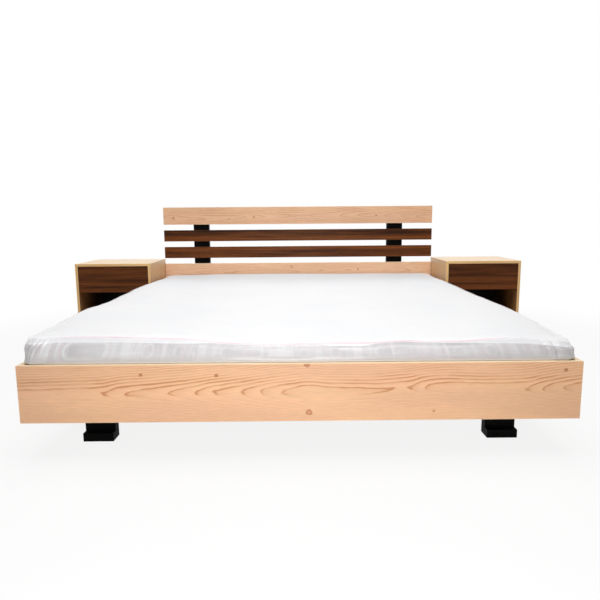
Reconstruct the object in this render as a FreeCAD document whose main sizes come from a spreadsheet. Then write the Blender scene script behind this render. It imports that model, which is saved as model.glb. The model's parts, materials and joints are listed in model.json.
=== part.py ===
import FreeCAD, Part
import Sketcher
import math
import os
import re

from FreeCAD import Placement, Rotation, Vector

# A double bed with a slatted headboard, its mattress, and a side table with one drawer at each side.
# Millimetres. X runs across the bed, Y from foot to head, Z up from the floor.
# The origin is on the floor, in the middle of the whole footprint.

SIZES = [
    # Bed frame
    ("bed_board", 18, "thickness of the frame and headboard boards"),
    ("frame_height", 195, "height of the footboard and the rails"),
    ("frame_lift", 135, "floor to the underside of the frame"),
    ("edge_round", 1, "rounding of the board edges"),
    # Mattress
    ("mattress_width", 1800, "width of the mattress"),
    ("mattress_length", 2000, "length of the mattress"),
    ("mattress_height", 180, "height of the mattress at its rim"),
    ("mattress_crown", 17, "rise of its middle above the rim"),
    ("mattress_corner", 60, "corner radius in plan"),
    ("rim_round", 45, "height over which a rim curves in"),
    ("rim_draw", 24, "how far a rim is drawn in"),
    ("crown_flat", 180, "half width of the flat middle of the crown"),
    ("side_gap", 7, "mattress to side rail"),
    ("end_gap", 9, "mattress to footboard and head rail"),
    # Headboard
    ("pine_rail", 117, "height of the top and bottom headboard rails"),
    ("walnut_rail", 77, "height of the two middle slats"),
    ("rail_gap", 38, "gap between headboard rails"),
    ("headboard_lift", 49, "frame top to the bottom rail"),
    ("post_width", 106, "width of a headboard post"),
    ("post_depth", 36, "depth of a headboard post"),
    ("post_inset", 202, "end of a headboard rail to the outer edge of a post"),
    ("post_drop", 20, "top rail's top edge to the post's top"),
    # Slatted base
    ("slat_drop", 100, "frame top to the top of the slats"),
    ("slat_thick", 18, "thickness of a slat"),
    ("slat_width", 70, "width of a slat"),
    ("slat_margin", 40, "end board to the first slat"),
    ("slat_gap", 2, "slat end to side rail"),
    ("slat_count", 14, "number of slats"),
    ("batten", 30, "thickness of the ledgers and corner blocks"),
    ("ledger_height", 40, "height of the ledgers and the centre beam"),
    ("corner_height", 70, "height of a corner block"),
    ("bearer_depth", 36, "depth of a cross bearer"),
    ("bearer_height", 57, "height of a cross bearer"),
    ("beam_width", 36, "width of the centre beam"),
    # Legs
    ("leg_width", 110, "width of a leg"),
    ("leg_inset", 135, "side of the frame to the outer edge of a leg"),
    ("leg_setback", 164, "end of the frame to the front of a foot"),
    ("foot_height", 31, "height of the foot block"),
    ("foot_toe", 27, "how far the foot stands out from its upright"),
    ("leg_upright", 36, "thickness of the upright"),
    ("centre_leg_width", 60, "side of the square centre leg"),
    ("tenon_radius", 12, "radius of the centre leg's tenon"),
    ("tenon_height", 20, "height of that tenon"),
    # Frame fasteners
    ("screw_radius", 2.25, "shank of a frame screw"),
    ("screw_head", 4.4, "head radius of a frame screw"),
    ("screw_bite", 14, "depth of a frame screw past its batten"),
    ("screw_tip", 5, "length of a screw's point"),
    ("coach_radius", 4, "shank of a coach screw"),
    ("coach_length", 50, "length of a coach screw under its head"),
    ("coach_head", 6.5, "half the width across flats of its head"),
    ("coach_head_height", 5.3, "height of its head"),
    ("coach_sink", 14, "depth of its counterbore in a bearer"),
    ("coach_socket", 10, "radius of that counterbore"),
    ("coach_edge", 30, "edge of the head rail to a coach screw"),
    ("drill_gap", 0.15, "clearance of a fastener in its hole"),
    ("drill_rise", 45, "length of the drilled path above a head"),
    # Side tables
    ("bed_gap", 2, "bed to side table"),
    ("table_width", 470, "width of a side table"),
    ("table_depth", 400, "depth of a side table"),
    ("table_height", 528, "height of a side table"),
    ("table_board", 16, "thickness of its boards"),
    ("table_lift", 60, "floor to the underside of its bottom board"),
    ("back_thick", 4, "thickness of the back panel"),
    ("back_inset", 10, "rear edge to the back panel"),
    ("groove_depth", 6, "depth of a panel groove"),
    ("groove_gap", 0.25, "clearance of a panel in its groove"),
    ("glide_height", 6, "height of a glide under a side"),
    ("glide_radius", 7, "radius of a glide"),
    ("glide_pin", 1.5, "radius of a glide's nail"),
    ("glide_pin_length", 14, "length of a glide's nail"),
    ("glide_inset", 30, "edge of a side to the middle of a glide"),
    ("dowel_radius", 4, "radius of a dowel"),
    ("dowel_length", 30, "length of a dowel"),
    ("dowel_sink", 10, "depth of a dowel in the face it meets"),
    ("dowel_inset", 60, "edge of a side to the middle of a dowel"),
    # Drawers
    ("front_height", 162, "height of the drawer front"),
    ("front_reveal", 2, "gap around the drawer front"),
    ("box_board", 12, "thickness of the drawer box boards"),
    ("box_height", 110, "height of the drawer box"),
    ("box_room", 20, "drawer box to the back panel"),
    ("box_lift", 12, "front's lower edge to the box's lower edge"),
    ("floor_thick", 4, "thickness of the drawer bottom"),
    ("floor_lift", 8, "box's lower edge to the drawer bottom"),
    ("drawer_screw_radius", 1.75, "shank of a drawer screw"),
    ("drawer_screw_head", 3.4, "head radius of a drawer screw"),
    ("drawer_screw_bite", 12, "depth of a drawer screw past its board"),
    ("drawer_screw_edge", 10, "drawer bottom, or box's top edge, to a drawer screw"),
    # Runners
    ("runner_space", 12.7, "table side to drawer box"),
    ("runner_height", 45, "height of the cabinet member"),
    ("runner_sheet", 1.2, "sheet thickness of a runner"),
    ("runner_gap", 0.3, "clearance between nested members"),
    ("runner_room", 2.3, "room for screw heads behind the middle member"),
    ("runner_setback", 3, "drawer front to the runner's end"),
    ("runner_short", 2, "runner's rear end to the drawer box's rear end"),
    ("runner_screw_radius", 1.75, "shank of a runner screw"),
    ("runner_screw_length", 10, "length of a runner screw"),
    ("runner_screw_head", 3.2, "head radius of a runner screw"),
    ("runner_screw_head_height", 1.6, "height of its head"),
    ("runner_screw_inset", 50, "runner's end to a runner screw"),
]

# Shares of a piece's own length, for fasteners that are spread along it
SPREAD = (0.3, 0.7)
CORNER_END_SCREWS = (0.2, 0.6)
CORNER_SIDE_SCREWS = (0.4, 0.8)
SLAT_SCREW_SHARE = 0.3
BEARER_SCREW_SHARE = 0.7
# Steps of the curved rim and of the crown, from 0 at the edge to 1
RIM_STEPS = (0.0, 0.35, 1.0)
CROWN_STEPS = (0.0, 0.25, 0.6, 1.0)

# Lines and planes that several pieces share, as expressions of the sizes
INNER_HALF = "(mattress_width / 2 + side_gap)"
FRAME_HALF = f"({INNER_HALF} + bed_board)"
INNER_LENGTH = "(mattress_length + 2 * end_gap)"
FOOT_FACE = f"(-(2 * bed_board + {INNER_LENGTH} + post_depth) / 2)"
FOOT_INNER = f"({FOOT_FACE} + bed_board)"
HEAD_INNER = f"({FOOT_INNER} + {INNER_LENGTH})"
HEAD_OUTER = f"({HEAD_INNER} + bed_board)"
FRAME_TOP = "(frame_lift + frame_height)"
SLAT_TOP = f"({FRAME_TOP} - slat_drop)"
SLAT_BASE = f"({SLAT_TOP} - slat_thick)"
LEDGER_BASE = f"({SLAT_BASE} - ledger_height)"
BEARER_SETBACK = "(leg_setback + foot_toe + leg_upright)"
POST_OUTER = f"({FRAME_HALF} - post_inset)"
LEG_CENTRE = f"({FRAME_HALF} - leg_inset - leg_width / 2)"
TABLE_FRONT = f"({HEAD_OUTER} - table_depth)"
TABLE_TOP_BASE = "(table_height - table_board)"
DRAWER_BASE = f"({TABLE_TOP_BASE} - front_reveal - front_height)"
BOX_FRONT = f"({TABLE_FRONT} + table_board)"
BOX_BASE = f"({DRAWER_BASE} + box_lift)"
BOX_WIDTH = "(table_width - 2 * table_board - 2 * runner_space)"
BOX_LENGTH = "(table_depth - table_board - back_inset - back_thick - box_room)"
RUNNER_FRONT = f"({BOX_FRONT} + runner_setback)"
RUNNER_LENGTH = f"({BOX_LENGTH} - runner_setback - runner_short)"
RUNNER_MIDDLE = f"({BOX_BASE} + box_height / 2)"

doc = FreeCAD.newDocument("BedWithSideTables")
sheet = doc.addObject("Spreadsheet::Sheet", "Sizes")
for row, (alias, value, note) in enumerate(SIZES, start=1):
    sheet.set(f"A{row}", alias)
    sheet.set(f"B{row}", str(value))
    sheet.set(f"C{row}", note)
    sheet.setAlias(f"B{row}", alias)
doc.recompute()

size = {alias: float(sheet.get(alias)) for alias, value, note in SIZES}
pieces = []


def bind(thing, path, formula):
    """Ties a property to the sheet: every size named in the formula is read from its cell."""
    tied = re.sub(r"[a-z_]+", lambda word: f"Sizes.{word[0]}" if word[0] in size else word[0], str(formula))
    thing.setExpression(path, tied)


def put(thing, place):
    """Ties the position of an object to three formulas."""
    for axis, formula in zip("xyz", place):
        bind(thing, f"Placement.Base.{axis}", formula)


def new_body(name):
    return doc.addObject("PartDesign::Body", name)


def new_sketch(body, name, plane, lift=None):
    """A sketch on one of the body's own origin planes, raised by a formula where one is given."""
    sketch = body.newObject("Sketcher::SketchObject", name)
    support = [feature for feature in body.Origin.OriginFeatures if feature.Role == plane][0]
    sketch.AttachmentSupport = (support, [""])
    sketch.MapMode = "FlatFace"
    if lift is not None:
        bind(sketch, "AttachmentOffset.Base.z", lift)
    return sketch


def draw_outline(sketch, corners):
    """A closed outline of straight lines, each corner given by two formulas; "0" lies on an axis."""
    count = len(corners)
    spread = [Vector(math.cos(2 * math.pi * i / count) + 2, math.sin(2 * math.pi * i / count) + 2, 0)
              for i in range(count)]
    for i in range(count):
        sketch.addGeometry(Part.LineSegment(spread[i], spread[(i + 1) % count]), False)
    for i in range(count):
        sketch.addConstraint(Sketcher.Constraint("Coincident", i, 2, (i + 1) % count, 1))
    for i, corner in enumerate(corners):
        for kind, axis_line, formula in (("DistanceX", -2, corner[0]), ("DistanceY", -1, corner[1])):
            if formula == "0":
                sketch.addConstraint(Sketcher.Constraint("PointOnObject", i, 1, axis_line))
                continue
            start = spread[i].x if kind == "DistanceX" else spread[i].y
            index = sketch.addConstraint(Sketcher.Constraint(kind, -1, 1, i, 1, start))
            name = f"{kind.lower()}_{i}"
            sketch.renameConstraint(index, name)
            bind(sketch, f"Constraints.{name}", formula)


def draw_rounded_rectangle(sketch, width, length, radius, start):
    """A rectangle with round corners about the origin; start holds its three sizes as numbers."""
    half_width, half_length, corner = start[0] / 2, start[1] / 2, start[2]
    x, y = half_width - corner, half_length - corner
    ends = [((-x, -half_length), (x, -half_length)), ((half_width, -y), (half_width, y)),
            ((x, half_length), (-x, half_length)), ((-half_width, y), (-half_width, -y))]
    for first, last in ends:
        sketch.addGeometry(Part.LineSegment(Vector(*first, 0), Vector(*last, 0)), False)
    for quarter, centre in enumerate([(x, -y), (x, y), (-x, y), (-x, -y)]):
        circle = Part.Circle(Vector(*centre, 0), Vector(0, 0, 1), corner)
        angle = (quarter - 1) * math.pi / 2
        sketch.addGeometry(Part.ArcOfCircle(circle, angle, angle + math.pi / 2), False)
    for side in range(4):
        arc = side + 4
        sketch.addConstraint(Sketcher.Constraint("Tangent", side, 2, arc, 1))
        sketch.addConstraint(Sketcher.Constraint("Tangent", arc, 2, (side + 1) % 4, 1))
        sketch.addConstraint(Sketcher.Constraint("Horizontal" if side % 2 == 0 else "Vertical", side))
    for arc in (5, 6, 7):
        sketch.addConstraint(Sketcher.Constraint("Equal", 4, arc))
    sketch.addConstraint(Sketcher.Constraint("Symmetric", 0, 1, 2, 1, -1, 1))
    for name, formula, constraint in (
            ("width", width, Sketcher.Constraint("DistanceX", 3, 1, 1, 1, start[0])),
            ("length", length, Sketcher.Constraint("DistanceY", 0, 1, 2, 1, start[1])),
            ("radius", radius, Sketcher.Constraint("Radius", 4, corner))):
        index = sketch.addConstraint(constraint)
        sketch.renameConstraint(index, name)
        bind(sketch, f"Constraints.{name}", formula)


def draw_circle(sketch, middle, radius, start):
    """A circle with both coordinates of its centre at middle; start holds the two sizes as numbers."""
    centre = Vector(start[0], start[0], 0)
    sketch.addGeometry(Part.Circle(centre, Vector(0, 0, 1), start[1]), False)
    for name, formula, constraint in (
            ("centre_x", middle, Sketcher.Constraint("DistanceX", -1, 1, 0, 3, start[0])),
            ("centre_y", middle, Sketcher.Constraint("DistanceY", -1, 1, 0, 3, start[0])),
            ("radius", radius, Sketcher.Constraint("Radius", 0, start[1]))):
        index = sketch.addConstraint(constraint)
        sketch.renameConstraint(index, name)
        bind(sketch, f"Constraints.{name}", formula)


def pad(body, sketch, length, name, reverse=False, middle=False):
    feature = body.newObject("PartDesign::Pad", name)
    feature.Profile = sketch
    feature.Reversed = reverse
    feature.Midplane = middle
    bind(feature, "Length", length)
    return feature


def round_edges(body, feature, radius="edge_round"):
    """Rounds every edge of a feature."""
    doc.recompute()
    fillet = body.newObject("PartDesign::Fillet", body.Name + "_edges")
    fillet.Base = (feature, [f"Edge{i + 1}" for i in range(len(feature.Shape.Edges))])
    bind(fillet, "Radius", radius)


def board(name, box, place, rounded=False):
    """A board as a body: box is its length along X, Y and Z, place its low corner."""
    body = new_body(name + "_blank")
    sketch = new_sketch(body, name + "_outline", "XY_Plane")
    across, along, up = box
    draw_outline(sketch, [("0", "0"), (across, "0"), (across, along), ("0", along)])
    feature = pad(body, sketch, up, name + "_pad")
    if rounded:
        round_edges(body, feature)
    put(body, place)
    return body


def turned(name, profile):
    """A body turned about Z from an outline of radius and height; heights run downwards from the head."""
    body = new_body(name)
    sketch = new_sketch(body, name + "_profile", "XZ_Plane")
    draw_outline(sketch, profile)
    feature = body.newObject("PartDesign::Revolution", name + "_turn")
    feature.Profile = sketch
    feature.ReferenceAxis = (sketch, ["V_Axis"])
    feature.Angle = 360
    return body


def keep(name, blank, *tools):
    """Takes the tools out of a blank, one after the other, and files the result as a sub-part."""
    result = blank
    for number, tool in enumerate(tools):
        cut = doc.addObject("Part::Cut", f"{name}_cut_{number}")
        cut.Base = result
        cut.Tool = tool
        result = cut
    result.Label = name
    pieces.append(result)
    return result


def group(name, master, places):
    """Copies of one master shape at many places, as one group of separate solids."""
    copies = []
    for place in places:
        shape = master.Shape.copy()
        shape.Placement = place.multiply(master.Placement)
        copies.append(shape)
    feature = doc.addObject("Part::Feature", name)
    feature.Shape = Part.makeCompound(copies)
    return feature


def aim(point, direction):
    """A place for a fastener: the underside of its head at the point, its shank along the direction."""
    return Placement(Vector(*point), Rotation(Vector(0, 0, 1), Vector(*direction)))


def span(thing):
    return thing.Shape.BoundBox


def between(low, high, share):
    return low + (high - low) * share


# Bed frame

def frame_boards():
    tall = ("frame_height", "frame_lift")
    blanks = {
        "footboard": board("footboard", (f"2 * {FRAME_HALF}", "bed_board", tall[0]),
                           (f"-{FRAME_HALF}", FOOT_FACE, tall[1]), rounded=True),
        "head_rail": board("head_rail", (f"2 * {FRAME_HALF}", "bed_board", tall[0]),
                           (f"-{FRAME_HALF}", HEAD_INNER, tall[1]), rounded=True),
    }
    for side, low in (("left", f"-{FRAME_HALF}"), ("right", INNER_HALF)):
        name = f"side_rail_{side}"
        blanks[name] = board(name, ("bed_board", INNER_LENGTH, tall[0]), (low, FOOT_INNER, tall[1]),
                             rounded=True)
    return blanks


def headboard_boards():
    blanks = {}
    lift = f"({FRAME_TOP} + headboard_lift)"
    for name, height in (("headboard_bottom_rail", "pine_rail"), ("headboard_lower_slat", "walnut_rail"),
                         ("headboard_upper_slat", "walnut_rail"), ("headboard_top_rail", "pine_rail")):
        blanks[name] = board(name, (f"2 * {FRAME_HALF}", "bed_board", height),
                             (f"-{FRAME_HALF}", HEAD_INNER, lift), rounded=True)
        lift = f"({lift} + {height} + rail_gap)"
    post_height = f"({lift} - rail_gap - post_drop - frame_lift)"
    for side, low in (("left", f"-{POST_OUTER}"), ("right", f"{POST_OUTER} - post_width")):
        name = f"headboard_post_{side}"
        blanks[name] = board(name, ("post_width", "post_depth", post_height),
                             (low, HEAD_OUTER, "frame_lift"), rounded=True)
    return blanks


def base_boards():
    blanks = {}
    for end, low in (("front", f"{FOOT_FACE} + {BEARER_SETBACK}"),
                     ("rear", f"{HEAD_OUTER} - {BEARER_SETBACK} - bearer_depth")):
        name = f"{end}_bearer"
        blanks[name] = board(name, (f"2 * {INNER_HALF}", "bearer_depth", "bearer_height"),
                             (f"-{INNER_HALF}", low, f"{LEDGER_BASE} - bearer_height"))
    for side, low in (("left", f"-{INNER_HALF}"), ("right", f"{INNER_HALF} - batten")):
        name = f"ledger_{side}"
        blanks[name] = board(name, ("batten", f"{INNER_LENGTH} - 2 * batten", "ledger_height"),
                             (low, f"{FOOT_INNER} + batten", LEDGER_BASE))
    blanks["centre_beam"] = board("centre_beam", ("beam_width", INNER_LENGTH, "ledger_height"),
                                  ("-beam_width / 2", FOOT_INNER, LEDGER_BASE))
    return blanks


def corner_block(end, side):
    """A square block in one corner of the frame, under the slats."""
    low_x = f"-{INNER_HALF}" if side == "left" else f"{INNER_HALF} - batten"
    low_y = FOOT_INNER if end == "front" else f"{HEAD_INNER} - batten"
    return board(f"corner_block_{end}_{side}", ("batten", "batten", "corner_height"),
                 (low_x, low_y, f"{SLAT_BASE} - corner_height"))


def slat_row():
    """The slats as one body: the first one, repeated along the bed."""
    body = new_body("slat_row")
    body.AllowCompound = True
    sketch = new_sketch(body, "slat_outline", "XY_Plane")
    length = f"(2 * {INNER_HALF} - 2 * slat_gap)"
    draw_outline(sketch, [("0", "0"), (length, "0"), (length, "slat_width"), ("0", "slat_width")])
    first = pad(body, sketch, "slat_thick", "slat_pad")
    doc.recompute()
    row = body.newObject("PartDesign::LinearPattern", "slat_pattern")
    row.Originals = [first]
    row.Direction = (sketch, ["V_Axis"])
    bind(row, "Length", f"{INNER_LENGTH} - 2 * slat_margin - slat_width")
    bind(row, "Occurrences", "slat_count")
    body.Tip = row
    put(body, (f"-{INNER_HALF} + slat_gap", f"{FOOT_INNER} + slat_margin", SLAT_BASE))
    return body


def leg(name, centre, front, turn):
    """An L-shaped leg: a foot block with its upright set back from the toe."""
    body = new_body(name + "_blank")
    sketch = new_sketch(body, name + "_profile", "YZ_Plane")
    depth = "(foot_toe + leg_upright)"
    draw_outline(sketch, [("0", "0"), (depth, "0"), (depth, LEDGER_BASE), ("foot_toe", LEDGER_BASE),
                          ("foot_toe", "foot_height"), ("0", "foot_height")])
    round_edges(body, pad(body, sketch, "leg_width", name + "_pad", middle=True))
    body.Placement = Placement(Vector(), Rotation(Vector(0, 0, 1), turn))
    put(body, (centre, front, "0"))
    return body


def make_legs():
    """The four legs; at the head end they are turned round, so that every toe points outwards."""
    blanks = {}
    for end, front, turn in (("front", f"{FOOT_FACE} + leg_setback", 0),
                             ("rear", f"{HEAD_OUTER} - leg_setback", 180)):
        for side, centre in (("left", f"-{LEG_CENTRE}"), ("right", LEG_CENTRE)):
            name = f"leg_{end}_{side}"
            blanks[name] = leg(name, centre, front, turn)
    return blanks


def make_centre_leg():
    """A square leg under the centre beam, with a round tenon that enters the beam."""
    body = new_body("centre_leg")
    foot = new_sketch(body, "centre_leg_outline", "XY_Plane")
    width = "centre_leg_width"
    draw_outline(foot, [("0", "0"), (width, "0"), (width, width), ("0", width)])
    pad(body, foot, LEDGER_BASE, "centre_leg_pad")
    tenon = new_sketch(body, "centre_leg_tenon", "XY_Plane", LEDGER_BASE)
    draw_circle(tenon, f"{width} / 2", "tenon_radius", (size[width] / 2, size["tenon_radius"]))
    pad(body, tenon, "tenon_height", "centre_leg_tenon_pad")
    put(body, (f"-{width} / 2", f"({FOOT_INNER} + {HEAD_INNER} - {width}) / 2", "0"))
    keep("centre_leg", body)
    hole = doc.addObject("Part::Cylinder", "tenon_hole")
    bind(hole, "Radius", "tenon_radius + drill_gap")
    bind(hole, "Height", "tenon_height + drill_gap")
    put(hole, ("0", f"({FOOT_INNER} + {HEAD_INNER}) / 2", LEDGER_BASE))
    return hole


def make_mattress():
    """Round-cornered outlines lofted up the sides, then inwards over a low crown."""
    body = new_body("mattress")

    def outline(name, lift, inset, numbers):
        sketch = new_sketch(body, name, "XY_Plane", lift)
        wide = size["mattress_width"] - 2 * numbers
        long = size["mattress_length"] - 2 * numbers
        draw_rounded_rectangle(sketch, f"mattress_width - 2 * {inset}", f"mattress_length - 2 * {inset}",
                               "mattress_corner", (wide, long, size["mattress_corner"]))
        return sketch

    def loft(name, sketches):
        feature = body.newObject("PartDesign::AdditiveLoft", name)
        feature.Profile = sketches[0]
        feature.Sections = sketches[1:]

    sides = []
    for number, step in enumerate(RIM_STEPS):
        drawn = (1 - step) ** 2
        sides.append(outline(f"lower_rim_{number}", f"rim_round * {step}", f"(rim_draw * {drawn})",
                             size["rim_draw"] * drawn))
    sides.append(outline("belly", "mattress_height / 2", "0", 0))
    for number, step in enumerate(reversed(RIM_STEPS)):
        drawn = (1 - step) ** 2
        sides.append(outline(f"upper_rim_{number}", f"mattress_height - rim_round * {step}",
                             f"(rim_draw * {drawn})", size["rim_draw"] * drawn))
    loft("mattress_sides", sides)
    reach = size["mattress_width"] / 2 - size["crown_flat"] - size["rim_draw"]
    crown = []
    for number, step in enumerate(CROWN_STEPS):
        rise = 1 - (1 - step) ** 2
        inset = f"(rim_draw + (mattress_width / 2 - crown_flat - rim_draw) * {step})"
        crown.append(outline(f"crown_{number}", f"mattress_height + mattress_crown * {rise}", inset,
                             size["rim_draw"] + reach * step))
    loft("mattress_top", crown)
    put(body, ("0", f"({FOOT_INNER} + {HEAD_INNER}) / 2", SLAT_TOP))
    keep("mattress", body)


# Fasteners and their drilled holes

def countersunk(name, radius, head, length):
    """A countersunk screw and the path drilled for it, with a straight way above the head."""
    sink = f"({head} - {radius})"
    screw = turned(name, [("0", "0"), (head, "0"), (radius, sink), (radius, f"{length} - screw_tip"),
                          ("0", length)])
    wide, wide_head = f"({radius} + drill_gap)", f"({head} + drill_gap)"
    rise = "drill_rise"
    deep = f"{rise} + {length} + drill_gap"
    drill = turned(name + "_drill", [("0", "0"), (wide_head, "0"), (wide_head, rise),
                                     (wide, f"{rise} + {sink}"), (wide, deep), ("0", deep)])
    bind(drill, "Placement.Base.z", f"-{rise}")
    return screw, drill


def coach_screw():
    """A hexagon-headed coach screw, and its path with a counterbore above the head."""
    body = new_body("coach_screw")
    head = new_sketch(body, "coach_head_outline", "XY_Plane")
    centre, corner = "coach_head * 2", f"coach_head / {math.cos(math.pi / 6)}"
    points = [(f"{centre} + {corner} * {math.cos(a):.6f}", f"{centre} + {corner} * {math.sin(a):.6f}")
              for a in (math.pi / 3 * i for i in range(6))]
    draw_outline(head, points)
    pad(body, head, "coach_head_height", "coach_head_pad", reverse=True)
    shank = new_sketch(body, "coach_shank_outline", "XY_Plane")
    draw_circle(shank, centre, "coach_radius", (2 * size["coach_head"], size["coach_radius"]))
    pad(body, shank, "coach_length", "coach_shank_pad")
    put(body, (f"-{centre}", f"-{centre}", "0"))
    wide, rise = "(coach_radius + drill_gap)", "drill_rise"
    deep = f"{rise} + coach_length + drill_gap"
    drill = turned("coach_drill", [("0", "0"), ("coach_socket", "0"), ("coach_socket", rise), (wide, rise),
                                   (wide, deep), ("0", deep)])
    bind(drill, "Placement.Base.z", f"-{rise}")
    return body, drill


def runner_screw():
    """A pan-headed screw whose head stands on the runner's web, and its hole."""
    high = "runner_screw_head_height"
    wide = "(runner_screw_radius + drill_gap)"
    screw = turned("runner_screw", [("0", "0"), ("runner_screw_head * 0.6", "0"), ("runner_screw_head", high),
                                    ("runner_screw_radius", high),
                                    ("runner_screw_radius", f"{high} + runner_screw_length - screw_tip"),
                                    ("0", f"{high} + runner_screw_length")])
    bind(screw, "Placement.Base.z", f"-{high}")
    drill = turned("runner_screw_drill", [("0", "0"), (wide, "0"), (wide, "runner_screw_length + drill_gap"),
                                          ("0", "runner_screw_length + drill_gap")])
    return screw, drill


def dowel():
    """A dowel with chamfered ends, and its two-sided hole."""
    edge = "dowel_radius / 5"
    pin = turned("dowel", [("0", "0"), (f"dowel_radius - {edge}", "0"), ("dowel_radius", edge),
                           ("dowel_radius", f"dowel_length - {edge}"),
                           (f"dowel_radius - {edge}", "dowel_length"), ("0", "dowel_length")])
    wide, deep = "(dowel_radius + drill_gap)", "(dowel_length + 2 * drill_gap)"
    hole = turned("dowel_hole", [("0", "0"), (wide, "0"), (wide, deep), ("0", deep)])
    bind(pin, "Placement.Base.z", "-dowel_sink")
    bind(hole, "Placement.Base.z", "-dowel_sink - drill_gap")
    return pin, hole


def glide():
    """A glide with its nail, standing on the floor, and the nail's hole."""
    edge = "glide_height / 4"
    top = "glide_height + glide_pin_length"
    stud = turned("glide", [("0", "0"), (f"glide_radius - {edge}", "0"), ("glide_radius", edge),
                            ("glide_radius", "glide_height"), ("glide_pin", "glide_height"),
                            ("glide_pin", top), ("0", top)])
    wide = "(glide_pin + drill_gap)"
    hole = turned("glide_hole", [("0", "0"), (wide, "0"), (wide, f"{top} + drill_gap"),
                                 ("0", f"{top} + drill_gap")])
    return stud, hole


# Where the frame's fasteners go, read from the boards that they join

def ledger_screws(ledger, slats, outward):
    """From each ledger into its rail, in every other gap between slats."""
    box = span(ledger)
    inner = box.XMin if outward > 0 else box.XMax
    middles = [solid.BoundBox.Center.y for solid in slats.Shape.Solids]
    gaps = [(a + b) / 2 for a, b in zip(middles[::2], middles[1::2])]
    return [aim((inner, y, box.Center.z), (outward, 0, 0)) for y in gaps]


def corner_screws(block, outward, endward):
    """From a corner block into the end board and into the side rail, at staggered heights."""
    box = span(block)
    near_x = box.XMin if outward > 0 else box.XMax
    near_y = box.YMin if endward > 0 else box.YMax
    to_end = [aim((box.Center.x, near_y, between(box.ZMin, box.ZMax, share)), (0, endward, 0))
              for share in CORNER_END_SCREWS]
    to_side = [aim((near_x, box.Center.y, between(box.ZMin, box.ZMax, share)), (outward, 0, 0))
               for share in CORNER_SIDE_SCREWS]
    return to_end, to_side


def slat_screws(slats, ledger, outward):
    """Down through each slat's end into the ledger."""
    box = span(ledger)
    x = between(box.XMin, box.XMax, 1 - SLAT_SCREW_SHARE if outward > 0 else SLAT_SCREW_SHARE)
    return [aim((x, solid.BoundBox.Center.y, solid.BoundBox.ZMax), (0, 0, -1))
            for solid in slats.Shape.Solids]


def bearer_screws(rider, bearer, x):
    """Down through a ledger or the beam into a bearer, with the head sunk."""
    sunk = size["ledger_height"] - size["batten"]
    return [aim((x, span(bearer).Center.y, span(rider).ZMax - sunk), (0, 0, -1))]


def rail_screws(post, rail):
    """Forwards through a post into a headboard rail, one low and one high, with the heads sunk."""
    sunk = size["post_depth"] - size["batten"]
    box, board_box = span(post), span(rail)
    return [aim((between(box.XMin, box.XMax, share), box.YMax - sunk,
                 between(board_box.ZMin, board_box.ZMax, share)), (0, -1, 0)) for share in SPREAD]


def leg_coach_screws(leg_piece, bearer, towards):
    """Through a bearer into a leg's upright, with the head in its counterbore."""
    box, beam = span(leg_piece), span(bearer)
    face = beam.YMax - size["coach_sink"] if towards < 0 else beam.YMin + size["coach_sink"]
    return [aim((between(box.XMin, box.XMax, share), face, beam.Center.z), (0, towards, 0))
            for share in SPREAD]


def post_coach_screws(post, rail):
    """Through the head rail into a post."""
    box = span(rail)
    heights = (box.ZMin + size["coach_edge"], box.ZMax - size["coach_edge"])
    return [aim((span(post).Center.x, box.YMin, z), (0, 1, 0)) for z in heights]


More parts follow.
